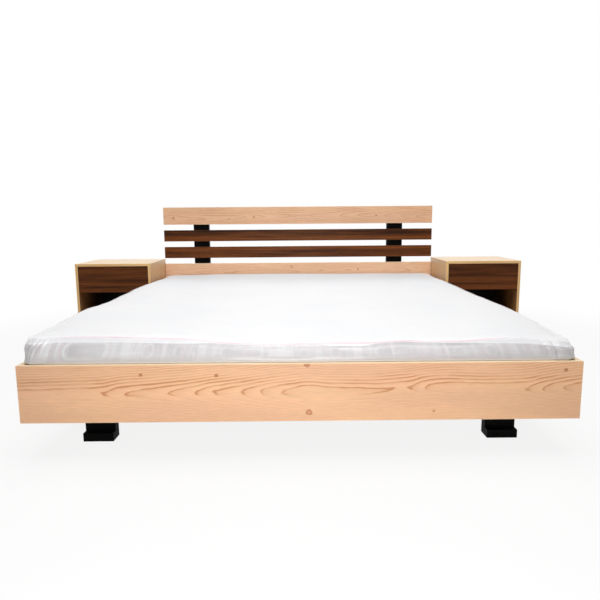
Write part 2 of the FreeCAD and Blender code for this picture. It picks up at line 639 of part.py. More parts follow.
def make_bed():
    boards = {**frame_boards(), **headboard_boards(), **base_boards()}
    slats = slat_row()
    blocks = {(end, side): corner_block(end, side) for end in ("front", "rear") for side in ("left", "right")}
    legs = make_legs()
    tenon_hole = make_centre_leg()
    make_mattress()
    screw, drill = countersunk("frame_screw", "screw_radius", "screw_head", "(batten + screw_bite)")
    coach, coach_drill = coach_screw()
    doc.recompute()

    outward = {"left": -1, "right": 1}
    endward = {"front": -1, "rear": 1}
    end_board = {"front": "footboard", "rear": "head_rail"}
    holes = {name: [] for name in [*boards, "bed_slats", "corner_blocks"]}
    coach_holes = {name: [] for name in [*boards, *legs]}
    screws, coach_screws = [], []

    def fasten(places, *names):
        screws.extend(places)
        for name in names:
            holes[name].extend(places)

    def bolt(places, *names):
        coach_screws.extend(places)
        for name in names:
            coach_holes[name].extend(places)

    for side, out in outward.items():
        ledger, rail, post = f"ledger_{side}", f"side_rail_{side}", f"headboard_post_{side}"
        fasten(ledger_screws(boards[ledger], slats, out), ledger, rail)
        fasten(slat_screws(slats, boards[ledger], out), ledger, "bed_slats")
        for end, way in endward.items():
            bearer = f"{end}_bearer"
            box = span(boards[ledger])
            share = 1 - BEARER_SCREW_SHARE if out > 0 else BEARER_SCREW_SHARE
            fasten(bearer_screws(boards[ledger], boards[bearer], between(box.XMin, box.XMax, share)),
                   ledger, bearer)
            to_end, to_side = corner_screws(blocks[end, side], out, way)
            fasten(to_end, "corner_blocks", end_board[end])
            fasten(to_side, "corner_blocks", rail)
            leg_name = f"leg_{end}_{side}"
            bolt(leg_coach_screws(legs[leg_name], boards[bearer], way), bearer, leg_name)
        for name in boards:
            if name.startswith("headboard") and not name.startswith("headboard_post"):
                fasten(rail_screws(boards[post], boards[name]), post, name)
        bolt(post_coach_screws(boards[post], boards["head_rail"]), "head_rail", post)
    for end in endward:
        bearer = f"{end}_bearer"
        fasten(bearer_screws(boards["centre_beam"], boards[bearer], 0), "centre_beam", bearer)

    def tools(name):
        found = []
        if holes.get(name):
            found.append(group(f"{name}_screw_holes", drill, holes[name]))
        if coach_holes.get(name):
            found.append(group(f"{name}_coach_holes", coach_drill, coach_holes[name]))
        return found

    for name, blank in {**boards, **legs}.items():
        extra = [tenon_hole] if name == "centre_beam" else []
        keep(name, blank, *tools(name), *extra)
    keep("bed_slats", slats, *tools("bed_slats"))
    block_set = doc.addObject("Part::Compound", "corner_block_set")
    block_set.Links = list(blocks.values())
    keep("corner_blocks", block_set, *tools("corner_blocks"))
    keep("frame_screws", group("frame_screw_group", screw, screws))
    keep("coach_screws", group("coach_screw_group", coach, coach_screws))


# Side tables

def grown(name, box, place, gap):
    """A cutting block: a panel's own box, larger by a gap all round."""
    block = doc.addObject("Part::Box", name)
    for edge, length in zip(("Length", "Width", "Height"), box):
        bind(block, edge, f"{length} + 2 * {gap}")
    put(block, [f"{low} - {gap}" for low in place])
    return block


def channel(name, height, depth, length):
    """A C-shaped runner member: its web on the YZ plane, its flanges along +X, its length along Y."""
    body = new_body(name)
    sketch = new_sketch(body, name + "_section", "XZ_Plane")
    wall, upper = "runner_sheet", f"({height} - runner_sheet)"
    draw_outline(sketch, [("0", "0"), (depth, "0"), (depth, wall), (wall, wall), (wall, upper),
                          (depth, upper), (depth, height), ("0", height)])
    pad(body, sketch, length, name + "_pad", reverse=True)
    return body


def runner_member(name, height, depth, offset, faces_in, low_wall, high_wall):
    """A pair of equal members, one beside each wall; faces_in turns the open side away from the wall."""
    pair = []
    for side, wall in (("low", low_wall), ("high", high_wall)):
        body = channel(f"{name}_{side}", height, depth, RUNNER_LENGTH)
        turn = (side == "high") == faces_in
        start = f"({offset})" if faces_in else f"({offset} + {depth})"
        sign = "+" if side == "low" else "-"
        rise = "-" if not turn else "+"
        body.Placement = Placement(Vector(), Rotation(Vector(0, 1, 0), 180 if turn else 0))
        put(body, (f"{wall} {sign} {start}", RUNNER_FRONT, f"{RUNNER_MIDDLE} {rise} {height} / 2"))
        pair.append(body)
    both = doc.addObject("Part::Compound", name + "_pair")
    both.Links = pair
    return both


def make_table(side, low_x, masters):
    """One side table with its drawer; low_x is its lower face along X. Returns its shared fastener places."""
    inner_is_low = side == "right"
    low_name, high_name = ("inner_side", "outer_side") if inner_is_low else ("outer_side", "inner_side")
    low_wall = f"({low_x} + table_board)"
    high_wall = f"({low_x} + table_width - table_board)"
    clear_width = "(table_width - 2 * table_board)"
    floor_top = "(table_lift + table_board)"
    side_height = f"({TABLE_TOP_BASE} - glide_height)"
    name = f"{side}_table"

    top = board(f"{name}_top", ("table_width", "table_depth", "table_board"),
                (low_x, TABLE_FRONT, TABLE_TOP_BASE), rounded=True)
    sides = {
        low_name: board(f"{name}_{low_name}", ("table_board", "table_depth", side_height),
                        (low_x, TABLE_FRONT, "glide_height"), rounded=True),
        high_name: board(f"{name}_{high_name}", ("table_board", "table_depth", side_height),
                         (high_wall, TABLE_FRONT, "glide_height"), rounded=True),
    }
    bottom = board(f"{name}_bottom", (clear_width, "table_depth", "table_board"),
                   (low_wall, TABLE_FRONT, "table_lift"), rounded=True)
    tongue = "(groove_depth - groove_gap)"
    back_box = (f"({clear_width} + 2 * {tongue})", "back_thick",
                f"({TABLE_TOP_BASE} - {floor_top} + 2 * {tongue})")
    back_place = (f"({low_wall} - {tongue})", f"({HEAD_OUTER} - back_inset - back_thick)",
                  f"({floor_top} - {tongue})")
    back = board(f"{name}_back", back_box, back_place)
    groove = grown(f"{name}_back_groove", back_box, back_place, "groove_gap")

    # Drawer box
    box_low = f"({low_wall} + runner_space)"
    box_high = f"({high_wall} - runner_space)"
    drawer = f"{side}_drawer"
    front = board(f"{drawer}_front", (f"{clear_width} - 2 * front_reveal", "table_board", "front_height"),
                  (f"{low_wall} + front_reveal", TABLE_FRONT, DRAWER_BASE), rounded=True)
    box_sides = {
        low_name: board(f"{drawer}_{low_name}", ("box_board", BOX_LENGTH, "box_height"),
                        (box_low, BOX_FRONT, BOX_BASE)),
        high_name: board(f"{drawer}_{high_name}", ("box_board", BOX_LENGTH, "box_height"),
                         (f"{box_high} - box_board", BOX_FRONT, BOX_BASE)),
    }
    cross_width = f"({BOX_WIDTH} - 2 * box_board)"
    box_front = board(f"{drawer}_box_front", (cross_width, "box_board", "box_height"),
                      (f"{box_low} + box_board", BOX_FRONT, BOX_BASE))
    box_back = board(f"{drawer}_back", (cross_width, "box_board", "box_height"),
                     (f"{box_low} + box_board", f"{BOX_FRONT} + {BOX_LENGTH} - box_board", BOX_BASE))
    lip = "(box_board / 2 - groove_gap)"
    floor_box = (f"({cross_width} + 2 * {lip})", f"({BOX_LENGTH} - 2 * box_board + 2 * {lip})", "floor_thick")
    floor_place = (f"({box_low} + box_board - {lip})", f"({BOX_FRONT} + box_board - {lip})",
                   f"({BOX_BASE} + floor_lift)")
    floor_panel = board(f"{drawer}_bottom", floor_box, floor_place)
    floor_groove = grown(f"{drawer}_floor_groove", floor_box, floor_place, "groove_gap")

    # Nested runner members, from the table side to the drawer box
    nest = "(runner_sheet + runner_gap)"
    cabinet_depth = "(runner_space - runner_sheet)"
    middle_offset = "(runner_sheet + runner_room)"
    middle_height = f"(runner_height - 2 * {nest})"
    drawer_height = f"({middle_height} - 2 * {nest})"
    drawer_offset = f"({middle_offset} + {nest})"
    cabinet = runner_member(f"{side}_cabinet_runners", "runner_height", cabinet_depth, "0", True,
                            low_wall, high_wall)
    middle = runner_member(f"{side}_middle_runners", middle_height, f"({cabinet_depth} - {middle_offset})",
                           middle_offset, True, low_wall, high_wall)
    inner = runner_member(f"{side}_drawer_runners", drawer_height, f"(runner_space - {drawer_offset})",
                          drawer_offset, False, low_wall, high_wall)
    doc.recompute()

    # Dowels between the sides, the top and the bottom
    dowels = []
    for board_piece in sides.values():
        box = span(board_piece)
        inward = 1 if box.Center.x < span(bottom).Center.x else -1
        joint = box.XMax if inward > 0 else box.XMin
        for y in (box.YMin + size["dowel_inset"], box.YMax - size["dowel_inset"]):
            dowels.append(aim((box.Center.x, y, box.ZMax), (0, 0, -1)))
            dowels.append(aim((joint, y, span(bottom).Center.z), (inward, 0, 0)))

    # Glides under the sides
    glides = []
    for board_piece in sides.values():
        box = span(board_piece)
        for y in (box.YMin + size["glide_inset"], box.YMax - size["glide_inset"]):
            glides.append(Placement(Vector(box.Center.x, y, 0), Rotation()))

    # Screws of the drawer box: into its front, and through its sides into the front and back of the box
    drawer_screws = []
    box = span(box_front)
    heights = (span(floor_panel).ZMax + size["drawer_screw_edge"], box.ZMax - size["drawer_screw_edge"])
    for z in heights:
        for share in SPREAD:
            drawer_screws.append(aim((between(box.XMin, box.XMax, share), box.YMax, z), (0, -1, 0)))
    for board_piece in box_sides.values():
        outer = span(board_piece)
        inward = 1 if outer.Center.x < box.Center.x else -1
        face = outer.XMin if inward > 0 else outer.XMax
        for cross in (box_front, box_back):
            for z in heights:
                drawer_screws.append(aim((face, span(cross).Center.y, z), (inward, 0, 0)))

    # Screws of the runners, through the webs into the table sides and the drawer sides
    cabinet_screws, drawer_runner_screws = [], []
    for places, pair, outwards in ((cabinet_screws, cabinet, True), (drawer_runner_screws, inner, False)):
        for member in pair.Shape.Solids:
            box = member.BoundBox
            is_low = box.Center.x < span(bottom).Center.x
            web_is_low = is_low == outwards
            sheet_thick = size["runner_sheet"]
            web = box.XMin + sheet_thick if web_is_low else box.XMax - sheet_thick
            for y in (box.YMin + size["runner_screw_inset"], box.YMax - size["runner_screw_inset"]):
                places.append(aim((web, y, box.Center.z), (-1 if web_is_low else 1, 0, 0)))

    dowel_holes = group(f"{name}_dowel_holes", masters["dowel"][1], dowels)
    glide_holes = group(f"{name}_glide_holes", masters["glide"][1], glides)
    screw_holes = group(f"{drawer}_screw_holes", masters["drawer_screw"][1], drawer_screws)
    cabinet_holes = group(f"{name}_runner_holes", masters["runner_screw"][1], cabinet_screws)
    runner_holes = group(f"{drawer}_runner_holes", masters["runner_screw"][1], drawer_runner_screws)

    keep(f"{name}_top", top, groove, dowel_holes)
    keep(f"{name}_bottom", bottom, groove, dowel_holes)
    keep(f"{name}_back", back)
    for part_name, board_piece in sides.items():
        keep(f"{name}_{part_name}", board_piece, groove, dowel_holes, glide_holes, cabinet_holes)
    keep(f"{drawer}_front", front, screw_holes)
    keep(f"{drawer}_box_front", box_front, screw_holes, floor_groove)
    keep(f"{drawer}_back", box_back, screw_holes, floor_groove)
    keep(f"{drawer}_bottom", floor_panel)
    for part_name, board_piece in box_sides.items():
        keep(f"{drawer}_{part_name}", board_piece, screw_holes, runner_holes, floor_groove)
    keep(f"{side}_cabinet_runners", cabinet, cabinet_holes)
    keep(f"{side}_middle_runners", middle)
    keep(f"{side}_drawer_runners", inner, runner_holes)
    keep(f"{drawer}_screws", group(f"{drawer}_screw_group", masters["drawer_screw"][0], drawer_screws))
    keep(f"{drawer}_runner_screws",
         group(f"{drawer}_runner_screw_group", masters["runner_screw"][0], drawer_runner_screws))
    return dowels, glides, cabinet_screws


def make_tables():
    masters = {
        "dowel": dowel(),
        "glide": glide(),
        "drawer_screw": countersunk("drawer_screw", "drawer_screw_radius", "drawer_screw_head",
                                    "(box_board + drawer_screw_bite)"),
        "runner_screw": runner_screw(),
    }
    dowels, glides, cabinet_screws = [], [], []
    for side, low_x in (("left", f"(-{FRAME_HALF} - bed_gap - table_width)"),
                        ("right", f"({FRAME_HALF} + bed_gap)")):
        found = make_table(side, low_x, masters)
        dowels.extend(found[0])
        glides.extend(found[1])
        cabinet_screws.extend(found[2])
    keep("table_dowels", group("dowel_group", masters["dowel"][0], dowels))
    keep("table_glides", group("glide_group", masters["glide"][0], glides))
    keep("cabinet_runner_screws", group("cabinet_screw_group", masters["runner_screw"][0], cabinet_screws))


def write_parts():
    """Checks every object and every sub-part, then writes one file for each sub-part."""
    doc.recompute()
    failed = [thing.Name for thing in doc.Objects if {"Invalid", "Error"} & set(thing.State)]
    if failed:
        raise RuntimeError(f"objects that failed: {failed}")
    for piece in pieces:
        if piece.Shape.isNull() or not piece.Shape.isValid() or not piece.Shape.Solids:
            raise RuntimeError(f"{piece.Label} has no valid solid")
    os.makedirs("parts", exist_ok=True)
    for piece in pieces:
        piece.Shape.exportStep(f"parts/{piece.Label}.step")
    print(f"{len(pieces)} sub-parts written")


make_bed()
make_tables()
write_parts()
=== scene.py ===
import json
import math
import bpy
import numpy as np
from mathutils import Matrix, Vector

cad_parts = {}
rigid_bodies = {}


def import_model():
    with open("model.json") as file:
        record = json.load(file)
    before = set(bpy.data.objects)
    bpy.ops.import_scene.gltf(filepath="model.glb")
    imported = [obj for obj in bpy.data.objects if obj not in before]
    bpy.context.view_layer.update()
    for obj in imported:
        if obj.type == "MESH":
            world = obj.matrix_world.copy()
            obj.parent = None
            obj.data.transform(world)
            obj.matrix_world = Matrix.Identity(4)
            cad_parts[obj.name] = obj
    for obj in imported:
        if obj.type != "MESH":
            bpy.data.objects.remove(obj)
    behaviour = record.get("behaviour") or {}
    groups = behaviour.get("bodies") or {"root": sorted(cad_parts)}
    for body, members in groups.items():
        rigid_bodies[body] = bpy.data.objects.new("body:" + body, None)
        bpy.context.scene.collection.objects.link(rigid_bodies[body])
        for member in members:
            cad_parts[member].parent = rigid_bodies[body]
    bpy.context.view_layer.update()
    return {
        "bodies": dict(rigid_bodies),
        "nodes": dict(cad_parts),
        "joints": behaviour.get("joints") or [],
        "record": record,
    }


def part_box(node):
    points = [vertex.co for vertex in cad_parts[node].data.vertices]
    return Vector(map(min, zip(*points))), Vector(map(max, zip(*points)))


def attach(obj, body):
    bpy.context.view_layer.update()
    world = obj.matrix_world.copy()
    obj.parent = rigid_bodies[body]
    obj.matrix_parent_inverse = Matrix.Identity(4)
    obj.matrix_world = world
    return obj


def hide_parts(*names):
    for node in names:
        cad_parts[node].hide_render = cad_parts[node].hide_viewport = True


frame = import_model()
nodes = frame["nodes"]
scene = bpy.context.scene

# camera: angles in degrees, downwards, to the right, and the tilt of the horizon
cameraPlan = {
    "lens": 32.0878,
    "sensor": 36.0,
    "place": (-0.00678, -2.733243, 0.794507),
    "pitch": 8.579,
    "yaw": 0.259,
    "roll": -0.43,
}


def placeCamera(plan):
    # view axis from yaw and pitch; the frame's right and up are then turned about it by the roll
    pitch, yaw, roll = (math.radians(plan[key]) for key in ("pitch", "yaw", "roll"))
    ahead = np.array([math.sin(yaw) * math.cos(pitch), math.cos(yaw) * math.cos(pitch), -math.sin(pitch)])
    level = np.array([math.cos(yaw), -math.sin(yaw), 0.0])
    upright = np.cross(level, ahead)
    right = level * math.cos(roll) + upright * math.sin(roll)
    up = upright * math.cos(roll) - level * math.sin(roll)
    lens = bpy.data.cameras.new("bedCamera")
    lens.lens = plan["lens"]
    lens.sensor_width = plan["sensor"]
    camera = bpy.data.objects.new("bedCamera", lens)
    turn = np.eye(4)
    turn[:3, 0], turn[:3, 1], turn[:3, 2], turn[:3, 3] = right, up, -ahead, plan["place"]
    camera.matrix_world = Matrix(turn.tolist())
    scene.collection.objects.link(camera)
    scene.camera = camera


placeCamera(cameraPlan)
scene.view_settings.view_transform = "Standard"
print("camera: placed")

tiny = 1e-6              # keeps a sum from being divided by nothing
squareOn = (0.6, 0.8)    # how squarely a face looks along an axis: from not at all to fully


def feed(tree, socket, value):
    # a field is linked, anything else is the socket's own number or colour
    if isinstance(value, Field):
        tree.links.new(value.socket, socket)
    elif socket.type == "RGBA":
        socket.default_value = (*value, 1.0)
    else:
        socket.default_value = value


class Field:
    # a node's result, a number or a colour over a surface; the signs + - * / between fields make Math nodes
    def __init__(self, tree, socket):
        self.tree, self.socket = tree, socket

    def reckon(self, operation, *values):
        # one Math node, its inputs filled in order
        node = self.tree.nodes.new("ShaderNodeMath")
        node.operation = operation
        for socket, value in zip(node.inputs, values):
            feed(self.tree, socket, value)
        return Field(self.tree, node.outputs[0])

    def __add__(self, other):
        return self.reckon("ADD", self, other)

    __radd__ = __add__

    def __sub__(self, other):
        return self.reckon("SUBTRACT", self, other)

    def __rsub__(self, other):
        return self.reckon("SUBTRACT", other, self)

    def __mul__(self, other):
        return self.reckon("MULTIPLY", self, other)

    def __truediv__(self, other):
        return self.reckon("DIVIDE", self, other)

    def __abs__(self):
        return self.reckon("ABSOLUTE", self)

    def root(self):
        return self.reckon("SQRT", self)

    def fraction(self):
        return self.reckon("FRACT", self)

    def exponent(self):
        return self.reckon("EXPONENT", self)

    def lower(self, other):
        return self.reckon("MINIMUM", self, other)

    def higher(self, other):
        return self.reckon("MAXIMUM", self, other)

    def swing(self, amount):
        # a noise about 0.5 becomes a swing about 0
        return (self - 0.5) * amount

    def ramp(self, low, high, toLow=0.0, toHigh=1.0, way="SMOOTHSTEP"):
        # low..high becomes toLow..toHigh, held at both ends
        node = self.tree.nodes.new("ShaderNodeMapRange")
        node.interpolation_type = way
        ends = {"Value": self, "From Min": low, "From Max": high, "To Min": toLow, "To Max": toHigh}
        for key, value in ends.items():
            feed(self.tree, node.inputs[key], value)
        return Field(self.tree, node.outputs[0])

    def between(self, low, high, soft):
        # 1 between low and high, with soft sides
        return self.ramp(low - soft, low + soft) * self.ramp(high - soft, high + soft, 1.0, 0.0)

    def curve(self, points):
        # a smooth curve through (value, result) points, held at both ends
        xs, ys = np.array(points, float).T
        low, high = float(ys.min()), float(ys.max())
        share = self.ramp(xs[0], xs[-1], way="LINEAR")
        node = self.tree.nodes.new("ShaderNodeFloatCurve")
        line = node.mapping.curves[0]
        places = np.stack([(xs - xs[0]) / (xs[-1] - xs[0]), (ys - low) / max(high - low, tiny)], 1)
        line.points[0].location, line.points[-1].location = places[0], places[-1]
        for spot in places[1:-1]:
            line.points.new(*spot)
        for point in line.points:
            point.handle_type = "AUTO_CLAMPED"
        node.mapping.update()
        feed(self.tree, node.inputs["Value"], share)
        return Field(self.tree, node.outputs[0]).ramp(0.0, 1.0, low, high, way="LINEAR")

    def axes(self):
        # a place's or a direction's three parts, by letter
        node = self.tree.nodes.new("ShaderNodeSeparateXYZ")
        feed(self.tree, node.inputs[0], self)
        return {axis: Field(self.tree, socket) for axis, socket in zip("XYZ", node.outputs)}


def lengthOf(x, y):
    # root(x^2 + y^2)
    return (x * x + y * y).root()


class Paint:
    # a material in the making: its finish's settings, its nodes, the axes of its grain and its noises' shift;
    # point and facing are the place and the face direction in the object's own frame, the row frame in metres
    def __init__(self, name, finish, along="X", across="Y", seed=0.0):
        self.finish, self.along, self.across = finish, along, across
        self.shift = [seed * turn for turn in finish.get("shift", (0.0, 0.0, 0.0))]
        self.material = bpy.data.materials.new(name)
        self.material.use_nodes = True
        self.tree = self.material.node_tree
        self.tree.nodes.clear()
        self.output = self.tree.nodes.new("ShaderNodeOutputMaterial")
        self.shader = self.tree.nodes.new("ShaderNodeBsdfPrincipled")
        self.tree.links.new(self.shader.outputs[0], self.output.inputs["Surface"])
        place = self.tree.nodes.new("ShaderNodeTexCoord")
        self.vector = Field(self.tree, place.outputs["Object"])
        self.point = self.vector.axes()
        self.facing = Field(self.tree, place.outputs["Normal"]).axes()

    def grain(self, waves, detail=2.0, rough=0.5, shift=None, vector=None):
        # soft noise about 0.5; waves per metre along the grain, across the face and through the piece
        stretch = dict.fromkeys("XYZ", waves[2])
        stretch[self.along], stretch[self.across] = waves[:2]
        mapping = self.tree.nodes.new("ShaderNodeMapping")
        mapping.inputs["Location"].default_value = shift or self.shift
        mapping.inputs["Scale"].default_value = [stretch[axis] for axis in "XYZ"]
        feed(self.tree, mapping.inputs["Vector"], vector or self.vector)
        node = self.tree.nodes.new("ShaderNodeTexNoise")
        for key, number in (("Scale", 1.0), ("Detail", detail), ("Roughness", rough)):
            node.inputs[key].default_value = number
        self.tree.links.new(mapping.outputs[0], node.inputs["Vector"])
        return Field(self.tree, node.outputs["Fac"])

    def fields(self):
        # the finish's noises, then its ramps, each naming the noise that it ramps
        made = {name: self.grain(*settings) for name, settings in self.finish["noises"].items()}
        for name, (source, *ends) in self.finish["ramps"].items():
            made[name] = made[source].ramp(*ends)
        return made

    def mix(self, share, low, high):
        # low + share (high - low)
        node = self.tree.nodes.new("ShaderNodeMix")
        node.data_type = "RGBA"
        for index, value in ((0, share), (6, low), (7, high)):
            feed(self.tree, node.inputs[index], value)
        return Field(self.tree, node.outputs[2])

    def scale(self, colour, amount):
        # colour times a number
        node = self.tree.nodes.new("ShaderNodeVectorMath")
        node.operation = "SCALE"
        feed(self.tree, node.inputs[0], colour)
        feed(self.tree, node.inputs["Scale"], amount)
        return Field(self.tree, node.outputs[0])

    def onFace(self, axis):
        # 1 on the two sides that look along an axis, 0 on the others
        return abs(self.facing[axis]).ramp(*squareOn)

    def onSide(self, axis, way):
        # 1 on the one side that looks that way along an axis
        return (self.facing[axis] * way).ramp(*squareOn)

    def edgeWear(self, name):
        # 1 along a board's arrises: two of the three coordinates are within reach of the board's box
        total = 0.0
        for axis, bottom, top in zip("XYZ", *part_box(name)):
            inward = (self.point[axis] - bottom).lower(top - self.point[axis])
            total = total + inward.ramp(0.0, self.finish["wear"], 1.0, 0.0)
        return total.ramp(1.0, 2.0, way="LINEAR")

    def close(self, colour, roughness, relief):
        # the fields go to the shader, with the finish's own levels and depth of relief
        inputs = self.shader.inputs
        feed(self.tree, inputs["Base Color"], colour)
        feed(self.tree, inputs["Roughness"], roughness)
        for key, level in self.finish["levels"].items():
            inputs[key].default_value = level
        bump = self.tree.nodes.new("ShaderNodeBump")
        bump.inputs["Strength"].default_value, bump.inputs["Distance"].default_value = self.finish["bump"]
        feed(self.tree, bump.inputs["Height"], relief)
        self.tree.links.new(bump.outputs[0], inputs["Normal"])
        return self.material


def dress(names, material):
    # one finish for each named node, in place of what it came with
    for name in names:
        slots = nodes[name].data.materials
        slots.clear()
        slots.append(material)


# light wood boards: rings are level lines of a field of arches along the board.
# In every finish, noises give waves per metre, detail, roughness and a shift of their own, ramps give a noise, its
# low and high, and the results there; shift is how a board's seed moves its noises, wear the width of worn arrises,
# bump the strength and depth of the relief
pineFinish = {
    "early": (0.84, 0.508, 0.292),   # pale wood
    "rosy": (0.835, 0.490, 0.296),
    "late": (0.585, 0.250, 0.108),   # the dark line that closes a ring
    "knot": (0.45, 0.165, 0.072),
    "knotHeart": (0.66, 0.300, 0.150),
    "band": (0.95, 0.76, 0.50),      # edging strip, paler in part as painted light that offsets the mattress's shade on the footboard's top edge
    "bandDark": (0.88, 0.64, 0.38),
    "worn": (0.90, 0.66, 0.45),
    "shift": (1.0, 0.7, 1.3), "wear": 0.0030, "bump": (0.12, 0.0006), "levels": {"Specular IOR Level": 0.40},
    "noises": {
        "sway": ((3.0, 16.0, 1.0),), "shiver": ((22.0, 70.0, 1.0),), "uneven": ((70.0, 90.0, 1.0),),
        "patch": ((6.0, 48.0, 1.0), 3.0), "fibre": ((16.0, 850.0, 30.0), 3.0, 0.6),
        "dash": ((45.0, 1300.0, 30.0), 1.0), "drift": ((1.1, 8.0, 1.0), 3.0), "fleck": ((26.0, 330.0, 20.0),),
        "blush": ((1.7, 11.0, 1.0), 3.0), "streak": ((2.0, 120.0, 420.0), 3.0),
    },
    "ramps": {
        "ragged": ("uneven", 0.25, 0.75, -0.14, 0.14), "patchy": ("patch", 0.36, 0.62, 0.35, 1.15),
        "dashShare": ("dash", 0.60, 0.74, 0.0, 0.20), "rosyShare": ("blush", 0.35, 0.65),
        "fibreTone": ("fibre", 0.25, 0.75, -0.05, 0.05), "fleckTone": ("fleck", 0.3, 0.7, -0.035, 0.035),
        "driftTone": ("drift", 0.3, 0.7, 0.94, 1.05), "bandShare": ("streak", 0.35, 0.75),
        "wornShare": ("drift", 0.42, 0.62, 0.25, 0.8), "roughness": ("fibre", 0.2, 0.8, 0.40, 0.56),
    },
    "swing": (2.2, 0.9),             # rings that sway and shiver move the lines by, times the board's wobble
    "line": (2.3, 0.45, 0.36),       # the dark line's start and peak before the ring's end, in widths; widest
    "dusk": (0.15, 0.95, 0.22),      # slow darkening towards the line: from, to, amount
    "lineRelief": 0.4,
    # knots, in radii: length over height, rings pushed aside by 0.22 exp(-0.30 d^2), edge and hollow heart
    "knotShape": {"long": 1.15, "push": 0.22, "fall": -0.30, "edge": (0.70, 1.15), "hollow": (0.35, 0.85)},
}
# along, across: axes of the grain; spine: height of the arches' axis; arches: ring count along the board
footboardGrain = {
    "along": "X", "across": "Z", "face": "Y",
    "spine": ((-0.925, 0.2345), (0.20, 0.2345), (0.40, 0.247), (0.60, 0.242), (0.925, 0.240)),
    "ringWidth": 0.0075, "round": 0.040,
    "arches": (
        (-0.925, 8.50), (-0.80, 8.42), (-0.72, 8.28), (-0.653, 8.0), (-0.591, 7.0), (-0.452, 6.0), (-0.349, 5.0),
        (-0.288, 4.0), (-0.200, 3.0), (-0.137, 2.0), (-0.071, 1.0), (-0.030, 0.55), (0.030, 0.02), (0.090, 0.42),
        (0.140, 0.52), (0.200, 0.60), (0.310, 1.0), (0.330, 1.05), (0.349, 1.0), (0.408, 0.0), (0.46, -0.45),
        (0.55, -0.62), (0.66, -0.75), (0.70, -0.85), (0.734, -1.0), (0.792, -2.0), (0.86, -3.0), (0.925, -3.8),
    ),
    # how dark the lines are, by height over the spine and by place along the board
    "bold": (
        (-0.10, 0.15), (-0.020, 0.13), (-0.008, 0.42), (0.000, 1.0), (0.030, 1.0), (0.046, 0.62), (0.062, 0.44),
        (0.10, 0.38),
    ),
    "boldAlong": (
        (-0.925, 0.85), (-0.75, 0.80), (-0.66, 0.95), (-0.55, 1.05), (-0.10, 1.0), (0.0, 0.90), (0.06, 0.65),
        (0.14, 0.80), (0.30, 1.0), (0.44, 1.0), (0.52, 0.80), (0.62, 0.60), (0.70, 0.90), (0.80, 1.0), (0.925, 0.8),
    ),
    # knots: place along and across, radius, depth of colour, and 1 for a ring, 0 for a filled spot
    "knots": (
        (-0.520, 0.297, 0.0058, 0.8, 0.0), (-0.274, 0.293, 0.0062, 0.8, 0.0), (0.022, 0.3265, 0.0090, 0.9, 0.5),
        (0.0285, 0.165, 0.0096, 0.9, 1.0), (0.868, 0.302, 0.0062, 0.8, 0.0), (0.440, 0.166, 0.0045, 0.45, 0.0),
    ),
    "lineWidth": 0.0037, "run": 26.0,   # the dark line's width, and rings per metre along the spine
    "wobble": 0.42, "seed": 0.0, "tones": {},
}


def knotMarks(along, across, knots, shape, ragged):
    # each knot: distance to its centre over its radius gives a dark rim, a browner heart and rings pushed aside;
    # ragged is a noise that makes the distance uneven
    push, rim, heart = 0.0, 0.0, 0.0
    for u, v, radius, depth, hollow in knots:
        sideways, upward = (along - u) / (radius * shape["long"]), (across - v) / radius
        squared = sideways * sideways + upward * upward
        away = squared.root() + ragged
        inside = away.ramp(*shape["edge"], depth, 0.0)
        push = push + (squared * shape["fall"]).exponent() * shape["push"]
        rim = rim + inside * away.ramp(*shape["hollow"], 1.0 - hollow, 1.0)
        heart = heart + inside
    return push, rim, heart


def pineBoard(name, grain):
    # ring field = (root(s^2 + round^2) - round) / ringWidth + arches(along), s being the height over the spine;
    # the dark line lies where its fraction nears 1, over a share of the ring that is the line's width times the
    # field's slope, so the line is as thin at an arch's tip as on its legs
    finish = {**pineFinish, **grain["tones"]}
    paint = Paint("pine_" + name, finish, grain["along"], grain["across"], grain["seed"])
    field = paint.fields()
    along, across = paint.point[grain["along"]], paint.point[grain["across"]]
    rise = across - along.curve(grain["spine"])
    lift = (rise * rise + grain["round"] ** 2).root()
    rings = (lift - grain["round"]) / grain["ringWidth"]
    sway, shiver = (field[key].swing(grain["wobble"] * by) for key, by in zip(("sway", "shiver"), finish["swing"]))
    push, rim, heart = knotMarks(along, across, grain["knots"], finish["knotShape"], field["ragged"])
    part = (rings + along.curve(grain["arches"]) + sway + shiver + push).fraction()

    climb = rise / (lift * grain["ringWidth"])
    slope = (climb * climb + grain["run"] ** 2).root()
    startWidths, peakWidths, widest = finish["line"]
    width = (slope * grain["lineWidth"]).lower(widest)
    peak = 1.0 - width * peakWidths
    late = part.ramp(1.0 - width * startWidths, peak) * part.ramp(peak, 1.0, 1.0, 0.0)
    duskFrom, duskTo, duskAmount = finish["dusk"]
    dusk = part.ramp(duskFrom, duskTo) * part.ramp(duskTo, 1.0, duskAmount, 0.0)
    bold = rise.curve(grain["bold"]) * along.curve(grain["boldAlong"])
    shade = (late * field["patchy"] + dusk) * bold

    wood = paint.mix(field["rosyShare"], finish["early"], finish["rosy"])
    for share, tint in ((shade, "late"), (field["dashShare"], "late"), (heart, "knotHeart"), (rim, "knot")):
        wood = paint.mix(share, wood, finish[tint])
    wood = paint.scale(wood, field["fibreTone"] + field["fleckTone"] + field["driftTone"])
    band = paint.mix(field["bandShare"], finish["band"], finish["bandDark"])
    colour = paint.mix(paint.onFace(grain["face"]), band, wood)
    colour = paint.mix(paint.edgeWear(name) * field["wornShare"], colour, finish["worn"])
    dress([name], paint.close(colour, field["roughness"], field["fibre"] - shade * finish["lineRelief"]))


pineBoard("footboard", footboardGrain)
print("footboard: grain drawn")

